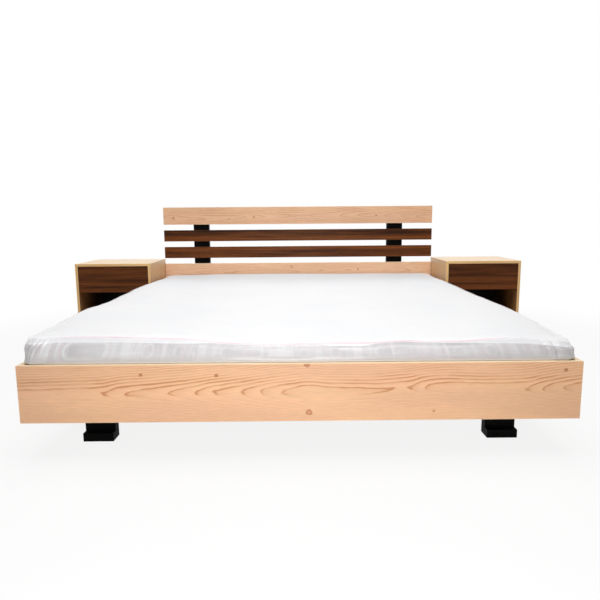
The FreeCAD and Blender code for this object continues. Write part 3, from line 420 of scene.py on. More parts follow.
# headboard and bed rails: the same wood, each with its own arches and knots
topRailGrain = {
    **footboardGrain,
    "spine": ((-0.925, 0.800), (-0.30, 0.812), (0.30, 0.822), (0.925, 0.806)),
    "ringWidth": 0.0085, "round": 0.030,
    "arches": (
        (-0.925, 0.0), (-0.80, 1.2), (-0.62, 2.0), (-0.45, 2.4), (-0.30, 3.4), (-0.12, 4.6), (0.05, 5.0),
        (0.22, 4.4), (0.40, 3.0), (0.56, 2.2), (0.70, 1.0), (0.925, -1.0),
    ),
    "bold": ((-0.06, 0.42), (0.0, 0.48), (0.03, 0.58), (0.07, 0.42)),
    "knots": (
        (-0.856, 0.810, 0.0065, 0.75, 0.2), (-0.302, 0.812, 0.0070, 0.66, 0.2), (-0.475, 0.800, 0.0055, 0.40, 0.0),
        (0.539, 0.818, 0.0065, 0.55, 0.2),
    ),
    "tones": {"early": (0.850, 0.530, 0.316), "rosy": (0.845, 0.512, 0.320)},
    "wobble": 0.5, "seed": 3.1,
}
bottomRailGrain = {
    **footboardGrain,
    "spine": ((-0.925, 0.440), (-0.20, 0.430), (0.30, 0.444), (0.925, 0.436)),
    "ringWidth": 0.0085, "round": 0.034,
    "arches": (
        (-0.925, 3.0), (-0.70, 2.0), (-0.48, 0.8), (-0.25, 0.2), (-0.02, 1.0), (0.20, 2.2), (0.38, 3.0),
        (0.55, 3.4), (0.74, 4.6), (0.925, 6.0),
    ),
    "bold": ((-0.06, 0.26), (0.0, 0.32), (0.03, 0.40), (0.06, 0.30)),
    "knots": ((-0.046, 0.467, 0.0070, 0.45, 0.2), (0.417, 0.448, 0.0065, 0.45, 0.2)),
    "tones": {"early": (0.92, 0.602, 0.371), "rosy": (0.915, 0.583, 0.376)},
    "wobble": 0.5, "seed": 5.7,
}
headRailGrain = {
    **footboardGrain,
    "spine": ((-0.925, 0.220), (0.0, 0.250), (0.925, 0.230)),
    "arches": ((-0.925, -2.0), (-0.50, 0.5), (-0.10, 2.0), (0.15, 4.0), (0.50, 6.5), (0.925, 9.0)),
    "knots": ((-0.62, 0.19, 0.008, 0.9, 1.0), (0.33, 0.28, 0.006, 0.8, 0.0)),
    "wobble": 0.5, "seed": 8.3,
}
leftRailGrain = {
    **footboardGrain,
    "along": "Y", "across": "Z", "face": "X",
    "boldAlong": ((-1.05, 0.8), (-0.5, 1.0), (0.1, 0.6), (0.5, 1.0), (1.05, 0.7)),
    "spine": ((-1.05, 0.225), (-0.2, 0.245), (0.5, 0.220), (1.05, 0.238)),
    "arches": (
        (-1.05, 7.0), (-0.80, 5.4), (-0.55, 3.2), (-0.30, 1.0), (-0.05, 0.1), (0.22, 0.8), (0.46, 2.6),
        (0.72, 5.2), (1.05, 8.0),
    ),
    "knots": ((-0.66, 0.285, 0.0065, 0.85, 0.2), (-0.05, 0.170, 0.0080, 0.95, 1.0), (0.58, 0.300, 0.0055, 0.7, 0.0)),
    "wobble": 0.45, "seed": 11.9,
}
rightRailGrain = {
    **leftRailGrain,
    "arches": tuple((place, 8.0 - ring) for place, ring in leftRailGrain["arches"]),   # the left one's, upside down
    "knots": ((-0.38, 0.180, 0.0075, 0.9, 1.0), (0.30, 0.292, 0.0060, 0.8, 0.0)), "seed": 15.2,
}
pineBoard("headboard_top_rail", topRailGrain)
pineBoard("headboard_bottom_rail", bottomRailGrain)
pineBoard("head_rail", headRailGrain)
pineBoard("side_rail_left", leftRailGrain)
pineBoard("side_rail_right", rightRailGrain)
print("rails: grain drawn")

# dark wood boards: long streaks between a red brown and a near black brown
walnutFinish = {
    "red": (0.205, 0.062, 0.016),
    "dark": (0.030, 0.0095, 0.0032),
    "pore": (0.012, 0.005, 0.003),
    "band": (0.045, 0.017, 0.008),
    "worn": (0.15, 0.060, 0.026),
    "shift": (1.0, 0.6, 1.7), "wear": 0.0022, "bump": (0.15, 0.0005), "levels": {"Specular IOR Level": 0.09},
    "noises": {
        "sway": ((2.4, 1.0, 9.0),), "broad": ((1.5, 1.0, 42.0), 3.0), "narrow": ((3.5, 4.0, 190.0), 3.0, 0.6),
        "speck": ((38.0, 60.0, 1500.0), 1.0),
    },
    "ramps": {
        "pores": ("speck", 0.58, 0.72), "broadDark": ("broad", 0.3, 0.7, -0.17, 0.17),
        "narrowDark": ("narrow", 0.3, 0.7, -0.27, 0.27), "bandTone": ("narrow", 0.3, 0.7, 0.7, 1.5),
        "wornShare": ("broad", 0.4, 0.65, 0.1, 0.55), "roughness": ("narrow", 0.2, 0.8, 0.30, 0.46),
    },
    "sway": 0.034, "poreShare": 0.45, "seeds": (2.3, 4.1),   # the first board's seed, and the step to the next
    # darkness of each board from its lower edge, 0, to its upper edge, 1
    "boards": {
        "headboard_upper_slat": ((0.0, 0.30), (0.28, 0.28), (0.48, 0.55), (0.70, 0.80), (1.0, 0.72)),
        "headboard_lower_slat": ((0.0, 0.34), (0.25, 0.45), (0.50, 0.62), (0.70, 0.40), (0.86, 0.16), (1.0, 0.30)),
        "left_drawer_front": (
            (0.0, 0.50), (0.10, 0.36), (0.20, 0.55), (0.30, 0.20), (0.38, 0.58), (0.50, 0.62), (0.60, 0.48),
            (0.72, 0.40), (0.82, 0.34), (0.90, 0.66), (1.0, 0.75),
        ),
        "right_drawer_front": (
            (0.0, 0.30), (0.10, 0.18), (0.22, 0.55), (0.31, 0.45), (0.42, 0.26), (0.50, 0.32), (0.58, 0.64),
            (0.70, 0.55), (0.85, 0.62), (1.0, 0.62),
        ),
    },
}


def walnutBoard(name, streaks, seed):
    # darkness = the board's own bands, swayed by slow noise, plus streaks of two widths
    finish = walnutFinish
    paint = Paint("walnut_" + name, finish, seed=seed)
    field = paint.fields()
    low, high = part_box(name)
    height = (paint.point["Z"] + field["sway"].swing(finish["sway"])).ramp(low[2], high[2], way="LINEAR")
    dark = height.curve(streaks) + field["broadDark"] + field["narrowDark"]
    wood = paint.mix(dark.ramp(0.0, 1.0, way="LINEAR"), finish["red"], finish["dark"])
    wood = paint.mix(field["pores"] * finish["poreShare"], wood, finish["pore"])
    wood = paint.mix(paint.onFace("Y"), paint.scale(finish["band"], field["bandTone"]), wood)
    colour = paint.mix(paint.edgeWear(name) * field["wornShare"], wood, finish["worn"])
    dress([name], paint.close(colour, field["roughness"], field["narrow"] - field["pores"]))


firstSeed, seedStep = walnutFinish["seeds"]
for index, (boardName, streaks) in enumerate(walnutFinish["boards"].items()):
    walnutBoard(boardName, streaks, firstSeed + seedStep * index)
print("walnut boards: streaks drawn")

# side table boards: pale outside, with painted shade as a darker copy on the upright sides and grain ends, dark
# inside the open shelf with painted shade deepening towards the back, a warm strip on the narrow edges
tableFinish = {
    "pale": (0.92, 0.72, 0.47),
    "line": (0.78, 0.53, 0.30),
    # painted shade: the upright sides and the ends of the grain take this darker copy of the pale wood
    "sidePaleShaded": (0.70, 0.445, 0.233),
    "sideLineShaded": (0.54, 0.33, 0.157),
    "inside": (0.42, 0.215, 0.085),
    "insideLine": (0.24, 0.115, 0.044),
    "depth": (0.62, 0.90, 1.0, 0.15),   # painted shade: the inside darkens from the front, 1, towards the back
    "band": (0.92, 0.585, 0.250),
    "bandDark": (0.79, 0.455, 0.165),
    "worn": (0.92, 0.72, 0.47),
    "shift": (1.0, 1.4, 0.5), "wear": 0.0024, "bump": (0.10, 0.0005), "levels": {},
    "noises": {
        "broad": ((1.6, 34.0, 2.0), 3.0), "narrow": ((5.0, 260.0, 8.0), 3.0, 0.6),
        "fibre": ((30.0, 1100.0, 40.0),), "strip": ((3.0, 300.0, 300.0), 3.0),
    },
    "ramps": {
        "broadLine": ("broad", 0.35, 0.7, 0.0, 0.45), "narrowLine": ("narrow", 0.42, 0.75, 0.0, 0.50),
        "fibreTone": ("fibre", 0.25, 0.75, 0.95, 1.05), "bandShare": ("strip", 0.35, 0.7),
        "wornShare": ("broad", 0.4, 0.65, 0.15, 0.6), "roughness": ("narrow", 0.2, 0.8, 0.30, 0.44),
    },
}


def tableBoard(name, along, across, face, inward, seed):
    # straight fine grain: stretched noise in three widths; the face that looks inward is dark, and painted shade
    # deepens it towards the back;
    # the upright boards and the ends of the grain take a darker painted-shade copy of the pale wood
    finish = tableFinish
    paint = Paint("table_" + name, finish, along, across, seed)
    field = paint.fields()
    lines = field["broadLine"] + field["narrowLine"]
    # painted shade: the darker copy of the wood for upright boards and grain ends
    sides = paint.mix(lines, finish["sidePaleShaded"], finish["sideLineShaded"])
    outside = sides if along == "Z" else paint.mix(lines, finish["pale"], finish["line"])
    outside = paint.scale(outside, field["fibreTone"])
    inside = paint.mix(lines, finish["inside"], finish["insideLine"])
    # painted shade: the inside darkens towards the back of the shelf
    inside = paint.scale(inside, paint.point["Y"].ramp(*finish["depth"]))
    wood = paint.mix(paint.onSide(face, inward), outside, inside)
    band = paint.mix(field["bandShare"], finish["band"], finish["bandDark"])
    # grain ends take the painted-shade side colour
    band = paint.mix(paint.onFace(along), band, sides)
    wood = paint.mix(paint.onFace(face), band, wood)
    colour = paint.mix(paint.edgeWear(name) * field["wornShare"], wood, finish["worn"])
    dress([name], paint.close(colour, field["roughness"], field["narrow"] + field["fibre"]))


for side, outward in (("left", -1.0), ("right", 1.0)):
    tableBoard(side + "_table_top", "X", "Y", "Z", inward=-1.0, seed=1.7 + outward)
    tableBoard(side + "_table_bottom", "X", "Y", "Z", inward=1.0, seed=5.9 + outward)
    tableBoard(side + "_table_inner_side", "Z", "Y", "X", inward=outward, seed=9.3 + outward)
    tableBoard(side + "_table_outer_side", "Z", "Y", "X", inward=-outward, seed=13.6 + outward)
print("side tables: boards drawn")

# black stained timber of the feet and posts
blackFinish = {
    "stain": (0.0018, 0.0017, 0.0016), "thin": (0.0048, 0.0044, 0.0041), "worn": (0.017, 0.014, 0.013),
    "shift": (1.0, 0.8, 1.9), "wear": 0.0030, "bump": (0.25, 0.0006), "levels": {"Specular IOR Level": 0.03},
    "noises": {"broad": ((3.0, 60.0, 60.0), 3.0), "narrow": ((20.0, 600.0, 600.0), 3.0, 0.6)},
    "ramps": {
        "broadLine": ("broad", 0.4, 0.7, 0.0, 0.6), "narrowLine": ("narrow", 0.45, 0.75, 0.0, 0.5),
        "wornShare": ("broad", 0.4, 0.65, 0.1, 0.7), "roughness": ("narrow", 0.2, 0.8, 0.42, 0.62),
    },
}


def blackTimber(name, along, across, seed):
    # the stain is thinner on the harder lines of the grain and along the arrises
    paint = Paint("black_" + name, blackFinish, along, across, seed)
    field = paint.fields()
    wood = paint.mix(field["broadLine"] + field["narrowLine"], blackFinish["stain"], blackFinish["thin"])
    colour = paint.mix(paint.edgeWear(name) * field["wornShare"], wood, blackFinish["worn"])
    dress([name], paint.close(colour, field["roughness"], field["broad"] + field["narrow"]))


for index, side in enumerate(("left", "right")):
    blackTimber("headboard_post_" + side, "Z", "X", seed=1.3 + index)
    blackTimber("leg_front_" + side, "X", "Y", seed=4.4 + index)
    blackTimber("leg_rear_" + side, "X", "Y", seed=7.7 + index)
print("posts and feet: stain drawn")

# sawn softwood under the mattress, birch ply drawer boxes, beech dowels; rough: roughness, waves: two noises
plainWoods = {
    "base": {
        "pale": (0.66, 0.45, 0.255), "line": (0.46, 0.265, 0.125), "rough": (0.55, 0.80),
        "waves": ((2.0, 40.0), (12.0, 420.0)), "bump": (0.35, 0.0006),
    },
    "drawer": {
        "pale": (0.72, 0.60, 0.43), "line": (0.55, 0.42, 0.27), "rough": (0.38, 0.52),
        "waves": ((2.5, 30.0), (8.0, 380.0)), "bump": (0.12, 0.0006),
    },
    "beech": {
        "pale": (0.62, 0.40, 0.23), "line": (0.45, 0.26, 0.13), "rough": (0.50, 0.70),
        "waves": ((20.0, 160.0), (60.0, 900.0)), "bump": (0.20, 0.0006),
    },
}


def plainWood(label, names, wood, along, across, seed):
    # straight grain from two widths of stretched noise, darker where both are high
    (slow, wide), (fast, fine) = wood["waves"]
    finish = {
        **wood, "shift": (1.0, 0.8, 1.9), "levels": {"Specular IOR Level": 0.35},
        "noises": {"broad": ((slow, wide, wide), 3.0), "narrow": ((fast, fine, fine), 3.0, 0.6)},
        "ramps": {
            "broadLine": ("broad", 0.35, 0.7, 0.0, 0.6), "narrowLine": ("narrow", 0.42, 0.75, 0.0, 0.5),
            "roughness": ("narrow", 0.2, 0.8, *wood["rough"]),
        },
    }
    paint = Paint(label, finish, along, across, seed)
    field = paint.fields()
    colour = paint.mix(field["broadLine"] + field["narrowLine"], wood["pale"], wood["line"])
    dress(names, paint.close(colour, field["roughness"], field["broad"] + field["narrow"]))


plainWood("baseCross", ["front_bearer", "rear_bearer", "bed_slats"], plainWoods["base"], "X", "Z", seed=2.2)
plainWood("baseLong", ["ledger_left", "ledger_right", "centre_beam"], plainWoods["base"], "Y", "Z", seed=6.1)
plainWood("baseUpright", ["centre_leg", "corner_blocks"], plainWoods["base"], "Z", "X", seed=9.8)
plainWood("dowelBeech", ["table_dowels"], plainWoods["beech"], "Z", "X", seed=3.3)
for index, side in enumerate(("left", "right")):
    crosswise = [side + "_drawer_box_front", side + "_drawer_back"]
    lengthwise = [side + "_drawer_inner_side", side + "_drawer_outer_side"]
    plainWood("drawerCross_" + side, crosswise, plainWoods["drawer"], "X", "Z", seed=4.7 + index)
    plainWood("drawerLong_" + side, lengthwise, plainWoods["drawer"], "Y", "Z", seed=8.5 + index)

hardboardFinish = {
    "raw": {"smooth": (0.30, 0.175, 0.092), "flake": (0.21, 0.115, 0.058), "hair": (0.40, 0.25, 0.14)},
    # painted shade: a near-black front for the table backs, standing in for the shade at the back of the shelf
    "shadeBlack": {
        "smooth": (0.0070, 0.0064, 0.0060), "flake": (0.0042, 0.0040, 0.0038), "hair": (0.014, 0.012, 0.011),
    },
    "bump": (0.2, 0.0004), "levels": {"Specular IOR Level": 0.10},
    "noises": {
        "cloud": ((38.0, 38.0, 38.0), 4.0, 0.65), "grit": ((900.0, 900.0, 900.0),),
        "strand": ((500.0, 500.0, 130.0), 1.0),
    },
    "ramps": {
        "flakeShare": ("cloud", 0.3, 0.7), "hairShare": ("strand", 0.62, 0.72, 0.0, 0.5),
        "roughness": ("grit", 0.2, 0.8, 0.48, 0.70),
    },
}


def hardboard(label, names, front, rear):
    # pressed fibre: cloudy noise, short pale hairs, a mesh of fine dents on the bump; front is the side towards -Y
    paint = Paint(label, hardboardFinish)
    field = paint.fields()
    sides = []
    for tints in (hardboardFinish[rear], hardboardFinish[front]):
        colour = paint.mix(field["flakeShare"], tints["smooth"], tints["flake"])
        sides.append(paint.mix(field["hairShare"], colour, tints["hair"]))
    colour = paint.mix(paint.onSide("Y", -1.0), *sides)
    dress(names, paint.close(colour, field["roughness"], field["cloud"] + field["grit"]))


hardboard("drawerHardboard", ["left_drawer_bottom", "right_drawer_bottom"], "raw", "raw")
# painted shade: the table backs' near-black fronts
hardboard("backHardboard", ["left_table_back", "right_table_back"], "shadeBlack", "raw")
print("hidden timber: grain drawn")

# metal and plastic fittings; cells: spangles per metre
metalFinishes = {
    "zincSteel": {"pale": (0.66, 0.67, 0.69), "dull": (0.44, 0.45, 0.47), "rough": (0.24, 0.46), "cells": 260.0},
    "runnerSteel": {"pale": (0.58, 0.59, 0.60), "dull": (0.42, 0.43, 0.44), "rough": (0.22, 0.38), "cells": 90.0},
}
platingFinish = {
    "bump": (0.08, 0.0002), "levels": {"Metallic": 1.0},
    "noises": {"rolled": ((900.0, 12.0, 900.0),)}, "ramps": {},
    "shares": (0.4, 0.6), "gloss": (0.2, 0.8),   # of spangles and rolling lines in the roughness; range of their sum
}


def plated(label, names):
    # spangled plating: cells of slightly different grey, with fine rolling lines in the roughness
    metal = metalFinishes[label]
    paint = Paint(label, platingFinish)
    cells = paint.tree.nodes.new("ShaderNodeTexVoronoi")
    cells.inputs["Scale"].default_value = metal["cells"]
    feed(paint.tree, cells.inputs["Vector"], paint.vector)
    spangle = Field(paint.tree, cells.outputs["Color"]).axes()["X"]
    rolled = paint.fields()["rolled"]
    spangleShare, rolledShare = platingFinish["shares"]
    gloss = spangle * spangleShare + rolled * rolledShare
    colour = paint.mix(spangle, metal["dull"], metal["pale"])
    dress(names, paint.close(colour, gloss.ramp(*platingFinish["gloss"], *metal["rough"]), rolled))


screws = ["frame_screws", "coach_screws", "cabinet_runner_screws"]
runners = []
for side in ("left", "right"):
    screws += [side + "_drawer_screws", side + "_drawer_runner_screws"]
    runners += [side + part for part in ("_cabinet_runners", "_middle_runners", "_drawer_runners")]
plated("zincSteel", screws)
plated("runnerSteel", runners)

nylonFinish = {
    "body": (0.070, 0.068, 0.066), "rubWearAndShade": (0.16, 0.155, 0.15), "bump": (0.2, 0.0002), "levels": {},
    "underside": (-0.5, -0.9),
    "noises": {"spark": ((1400.0, 1400.0, 1400.0),), "scuff": ((220.0, 60.0, 220.0), 3.0)},
    "ramps": {"scuffed": ("scuff", 0.4, 0.65), "roughness": ("spark", 0.3, 0.7, 0.38, 0.62)},
}


def moulded(names):
    # moulded glides: spark texture on the bump, paler where the underside is rubbed
    paint = Paint("glideNylon", nylonFinish)
    field = paint.fields()
    under = paint.facing["Z"].ramp(*nylonFinish["underside"]) * field["scuffed"]
    colour = paint.mix(under, nylonFinish["body"], nylonFinish["rubWearAndShade"])
    dress(names, paint.close(colour, field["roughness"], field["spark"]))


moulded(["table_glides"])
print("fittings: plated")

# mattress: inset is measured in from the widest outline, height up from the base, in metres
mattressPlan = {
    "halfWidth": 0.9115, "halfLength": 1.0093, "centreY": -0.0187, "base": 0.230, "corner": 0.030,
    "profile": (
        (0.046, 0.1800), (0.040, 0.1795), (0.034, 0.1780), (0.028, 0.1740), (0.0215, 0.1660), (0.0155, 0.156),
        (0.0105, 0.146), (0.0070, 0.137), (0.0042, 0.128), (0.0018, 0.119), (0.0002, 0.109), (0.0003, 0.1030),
        (0.0006, 0.1010), (0.0044, 0.1004), (0.0074, 0.0985), (0.0085, 0.092), (0.0085, 0.065), (0.0085, 0.035),
        (0.011, 0.016), (0.020, 0.006), (0.032, 0.0015), (0.046, 0.0),
    ),
    "profileRounds": 3, "rows": 56, "arcCells": 12, "nearCells": 36, "nearReach": 0.09, "farCells": (72, 80),
    # how much fuller the four corners are, from which length down the profile and over which height
    "cornerFill": 0.56, "cornerSwell": 0.004, "cornerReach": 0.085, "fillFrom": (0.004, 0.020),
    "fillAbove": (0.100, 0.108),
    "cornerCheek": (0.0075, 0.046, 0.022),   # further swell halfway down: rise, place and reach down the side
    "cornerTape": 0.75,                      # how much flatter the tape is there
    "crown": 0.0125, "crownReach": 0.10,
    # tape along the rim: height, place down the profile, size, rise; the dips beside it: away from it, share
    "tapeHeight": 0.402, "tapeSpot": 0.0225, "tapeSize": 0.0048, "tapeRise": 0.0042,
    "tapeDips": ((0.013, 0.35), (-0.012, 0.30)), "dipSize": 0.005,
    # height of the tape along the front, by x, and along the two sides, by y
    "front": (
        (-0.90, 0.410), (-0.855, 0.4165), (-0.77, 0.4170), (-0.68, 0.4140), (-0.59, 0.4095), (-0.49, 0.407),
        (-0.41, 0.4045), (-0.346, 0.402), (-0.2675, 0.3906), (-0.164, 0.385), (0.0, 0.386), (0.1035, 0.388),
        (0.2136, 0.3845), (0.3055, 0.3895), (0.342, 0.3937), (0.379, 0.389), (0.52, 0.3875), (0.58, 0.391),
        (0.64, 0.399), (0.70, 0.4020), (0.80, 0.400), (0.86, 0.393), (0.90, 0.386),
    ),
    "left": (
        (-1.02, 0.409), (-0.94, 0.4135), (-0.89, 0.416), (-0.70, 0.424), (-0.53, 0.429), (-0.41, 0.424),
        (-0.25, 0.4197), (0.0, 0.420), (0.13, 0.424), (0.33, 0.422), (0.57, 0.419), (0.70, 0.414), (0.97, 0.411),
    ),
    "right": (
        (-1.02, 0.385), (-0.94, 0.396), (-0.89, 0.402), (-0.80, 0.407), (-0.53, 0.4120), (-0.25, 0.4105),
        (0.0, 0.4105), (0.25, 0.4130), (0.45, 0.4145), (0.70, 0.4125), (0.97, 0.410),
    ),
    "head": 0.4165,
    "reach": {"front": 0.20, "left": 0.25, "right": 0.25, "head": 0.16},
    "waveAbove": (0.106, 0.172),   # heights between which the sides come to follow the wave
    "waveBlur": (0.03, 9),         # half width and samples of the average that rounds the lines
    # slow and fast unevenness, of the top and of the sides: rise and size of its cells
    "swells": ((0.0022, (0.37, 0.31, 1.0)), (0.0009, (0.10, 0.08, 1.0))), "topOrigin": 40.0,
    "bulges": ((0.0018, (0.17, 0.08, 1.0)), (0.0008, (0.030, 0.022, 1.0))), "sideOrigin": (60.0, 3.0, 0.0),
    "drawIn": 0.0012,
    # upright folds: place along the rim from the front left corner, lean, width and rise
    "folds": (
        (-0.110, -0.20, 0.009, 0.0030), (-0.062, -0.25, 0.006, -0.0035), (-0.030, -0.20, 0.004, -0.0030),
        (-0.004, 0.10, 0.0030, -0.0032), (0.007, 0.20, 0.0028, -0.0034), (0.019, 0.26, 0.0030, -0.0036),
        (0.033, 0.34, 0.0034, -0.0030), (0.054, 0.30, 0.006, -0.0018), (0.100, -0.40, 0.010, 0.0014),
        (1.700, 0.25, 0.010, 0.0016), (1.727, 0.05, 0.006, -0.0018), (1.756, 0.06, 0.0034, -0.0040),
        (1.774, 0.15, 0.006, 0.0018), (1.796, -0.10, 0.0035, -0.0028), (1.812, -0.15, 0.0035, -0.0036),
        (1.828, -0.10, 0.0040, -0.0034), (1.870, -0.10, 0.010, 0.0030),
        (3.74, 0.15, 0.007, -0.0042), (3.79, -0.10, 0.005, -0.0050), (3.82, -0.20, 0.008, 0.0035),
        (5.60, 0.20, 0.007, -0.0042), (5.64, 0.10, 0.005, -0.0050), (5.68, -0.15, 0.008, 0.0035),
    ),
    "foldMiddle": 0.14, "foldHollow": (0.4, 3.0),   # height that folds lean about; hollow beside one: share, width
    "foldAbove": (0.104, 0.122), "foldFade": (0.165, 0.179, 0.8),
    "seed": 7, "lattice": 24,
}


def smoothStep(value, low, high):
    # 3 t^2 - 2 t^3, t being the share of the way from low to high, held at both ends
    share = np.clip((value - low) / (high - low), 0.0, 1.0)
    return share * share * (3.0 - 2.0 * share)


def bell(value, width):
    # exp(-(value / width)^2)
    return np.exp(-(value / width) ** 2)


def latticeNoise(points, cell, seed, count):
    # random heights on a cubic lattice, blended by smooth steps between the eight nearest, -1..1
    heights = np.random.default_rng(seed).uniform(-1.0, 1.0, (count, count, count))
    spot = points / np.asarray(cell)
    corner = np.floor(spot).astype(int)
    share = smoothStep(spot - corner, 0.0, 1.0)
    total = np.zeros(points.shape[:-1])
    for step in np.ndindex(2, 2, 2):
        index = (corner + np.array(step)) % count
        weight = np.where(np.array(step), share, 1.0 - share).prod(-1)
        total += weight * heights[index[..., 0], index[..., 1], index[..., 2]]
    return total


def cutCorners(points, rounds):
    # each round replaces a corner by two points, a quarter of the way along its two sides
    for turn in range(rounds):
        before, after = points[:-1], points[1:]
        cut = np.stack([0.75 * before + 0.25 * after, 0.25 * before + 0.75 * after], 1).reshape(-1, 2)
        points = np.concatenate([points[:1], cut, points[-1:]])
    return points


def runningLength(points):
    # distance along a line of points, from its first
    return np.concatenate([[0.0], np.cumsum(np.linalg.norm(np.diff(points, axis=0), axis=1))])


def evenRows(points, rows):
    # the same line at even distances
    lengths = runningLength(points)
    spots = np.linspace(0.0, lengths[-1], rows)
    return np.stack([np.interp(spots, lengths, points[:, i]) for i in (0, 1)], 1), spots


def gridLine(half, plan, farCells):
    # grid places along one side: fine on the corner's arc, closer than the middle beside it
    corner, reach = plan["corner"], plan["nearReach"]
    straight = half - corner
    arc = straight + np.linspace(0.0, corner, plan["arcCells"] + 1)[1:]
    near = np.linspace(straight - reach, straight, plan["nearCells"] + 1)[1:]
    middle = np.linspace(reach - straight, straight - reach, farCells + 1)
    end = np.concatenate([near, arc])
    return np.concatenate([-end[::-1], middle, end])


def roundedGrid(xs, ys, halfX, halfY, corner):
    # a square corner block becomes a quarter disc: x root(1 - y^2/2), y root(1 - x^2/2)
    gridX, gridY = np.meshgrid(xs, ys)
    coreX = np.clip(gridX, -halfX + corner, halfX - corner)
    coreY = np.clip(gridY, -halfY + corner, halfY - corner)
    farX, farY = (gridX - coreX) / corner, (gridY - coreY) / corner
    return coreX, coreY, farX * np.sqrt(1.0 - farY ** 2 / 2.0), farY * np.sqrt(1.0 - farX ** 2 / 2.0)


def ringIndex(countX, countY):
    # the grid's rim, once round, counter-clockwise from the front left corner
    index = np.arange(countX * countY).reshape(countY, countX)
    return np.concatenate([index[0, :-1], index[:-1, -1], index[-1, :0:-1], index[:0:-1, 0]])


def quadStrip(rows):
    # faces between neighbouring rows of vertex numbers that close on themselves
    upper, lower = rows[:-1], rows[1:]
    return np.stack([upper, lower, np.roll(lower, -1, 1), np.roll(upper, -1, 1)], -1).reshape(-1, 4)


def quadGrid(index):
    # faces between neighbouring rows and columns of vertex numbers
    return np.stack([index[:-1, :-1], index[:-1, 1:], index[1:, 1:], index[1:, :-1]], -1).reshape(-1, 4)


def buildMattress(plan):
    # top and bottom: rounded grids; sides: the profile carried round, each row a rounded oblong of its own inset
    corner = plan["corner"]
    topInset = plan["profile"][0][0]
    halfX, halfY = plan["halfWidth"] - topInset, plan["halfLength"] - topInset
    xs, ys = (gridLine(half, plan, cells) for half, cells in zip((halfX, halfY), plan["farCells"]))
    coreX, coreY, outX, outY = roundedGrid(xs, ys, halfX, halfY, corner)
    rim = ringIndex(len(xs), len(ys))
    flatX, flatY = (coreX + corner * outX).ravel(), (coreY + corner * outY).ravel()
    rimOut = np.stack([outX.ravel()[rim], outY.ravel()[rim]], 1)
    rimOut /= np.linalg.norm(rimOut, axis=1)[:, None]
    rimCore = np.stack([coreX.ravel()[rim], coreY.ravel()[rim]], 1)

    # profile with its tape: a bell-shaped rise, less a dip on each side
    profile, spots = evenRows(cutCorners(np.array(plan["profile"]), plan["profileRounds"]), plan["rows"])
    tangent = np.gradient(profile, spots, axis=0)
    lift = np.stack([-tangent[:, 1], -tangent[:, 0]], 1)  # outward, as (out of the side, up)
    bead = plan["tapeRise"] * bell(spots - plan["tapeSpot"], plan["tapeSize"])
    for away, share in plan["tapeDips"]:
        bead -= share * plan["tapeRise"] * bell(spots - plan["tapeSpot"] - away, plan["dipSize"])
    inset, height = profile.T

    # corners: the rim's upper part stands further out there, by a share of its inset, and its tape is flatter
    core = np.array([halfX - corner, halfY - corner])
    widest = rimCore * (np.array([plan["halfWidth"], plan["halfLength"]]) - corner) / core + corner * rimOut
    around = runningLength(widest)
    loop = around[-1] + np.linalg.norm(widest[0] - widest[-1])
    turns = np.cumsum([0, len(xs) - 1, len(ys) - 1, len(xs) - 1])
    gaps = (around[:, None] - around[turns] + loop / 2.0) % loop - loop / 2.0
    nearCorner = bell(gaps, plan["cornerReach"]).max(1)
    cheek, cheekSpot, cheekReach = plan["cornerCheek"]
    fuller = plan["cornerFill"] * inset + plan["cornerSwell"] + cheek * bell(spots - cheekSpot, cheekReach)
    fuller *= smoothStep(spots, *plan["fillFrom"]) * smoothStep(height, *plan["fillAbove"])
    beadOut = bead[:, None] * (1.0 - plan["cornerTape"] * nearCorner)

    rowCore = np.array([plan["halfWidth"], plan["halfLength"]]) - inset[:, None] - corner
    sideXY = rimCore[None] * (rowCore / core)[:, None] + corner * rimOut[None]
    sideXY = sideXY + (fuller[:, None] * nearCorner)[..., None] * rimOut[None]
    flat = np.ones((*sideXY.shape[:2], 1))
    sideLift = np.concatenate([lift[:, None, :1] * rimOut[None], lift[:, None, 1:] * flat], -1)
    side = np.concatenate([sideXY, height[:, None, None] * flat], -1) + beadOut[..., None] * sideLift
    top = np.stack([flatX, flatY, np.full(flatX.shape, profile[0, 1])], 1)
    bottom = np.stack([flatX, flatY, np.zeros(flatX.shape)], 1)
    return {
        "top": top, "bottom": bottom, "side": side, "sideLift": sideLift, "rim": rim, "around": around,
        "loop": loop, "spots": spots, "profile": profile, "shape": coreX.shape,
    }


def softLine(line, spots, blur):
    # a line through points, averaged over a short stretch so that its corners are round
    places, heights = np.array(line).T
    width, samples = blur
    slides = np.linspace(-width, width, samples)
    return sum(np.interp(spots + slide, places, heights) for slide in slides) / samples


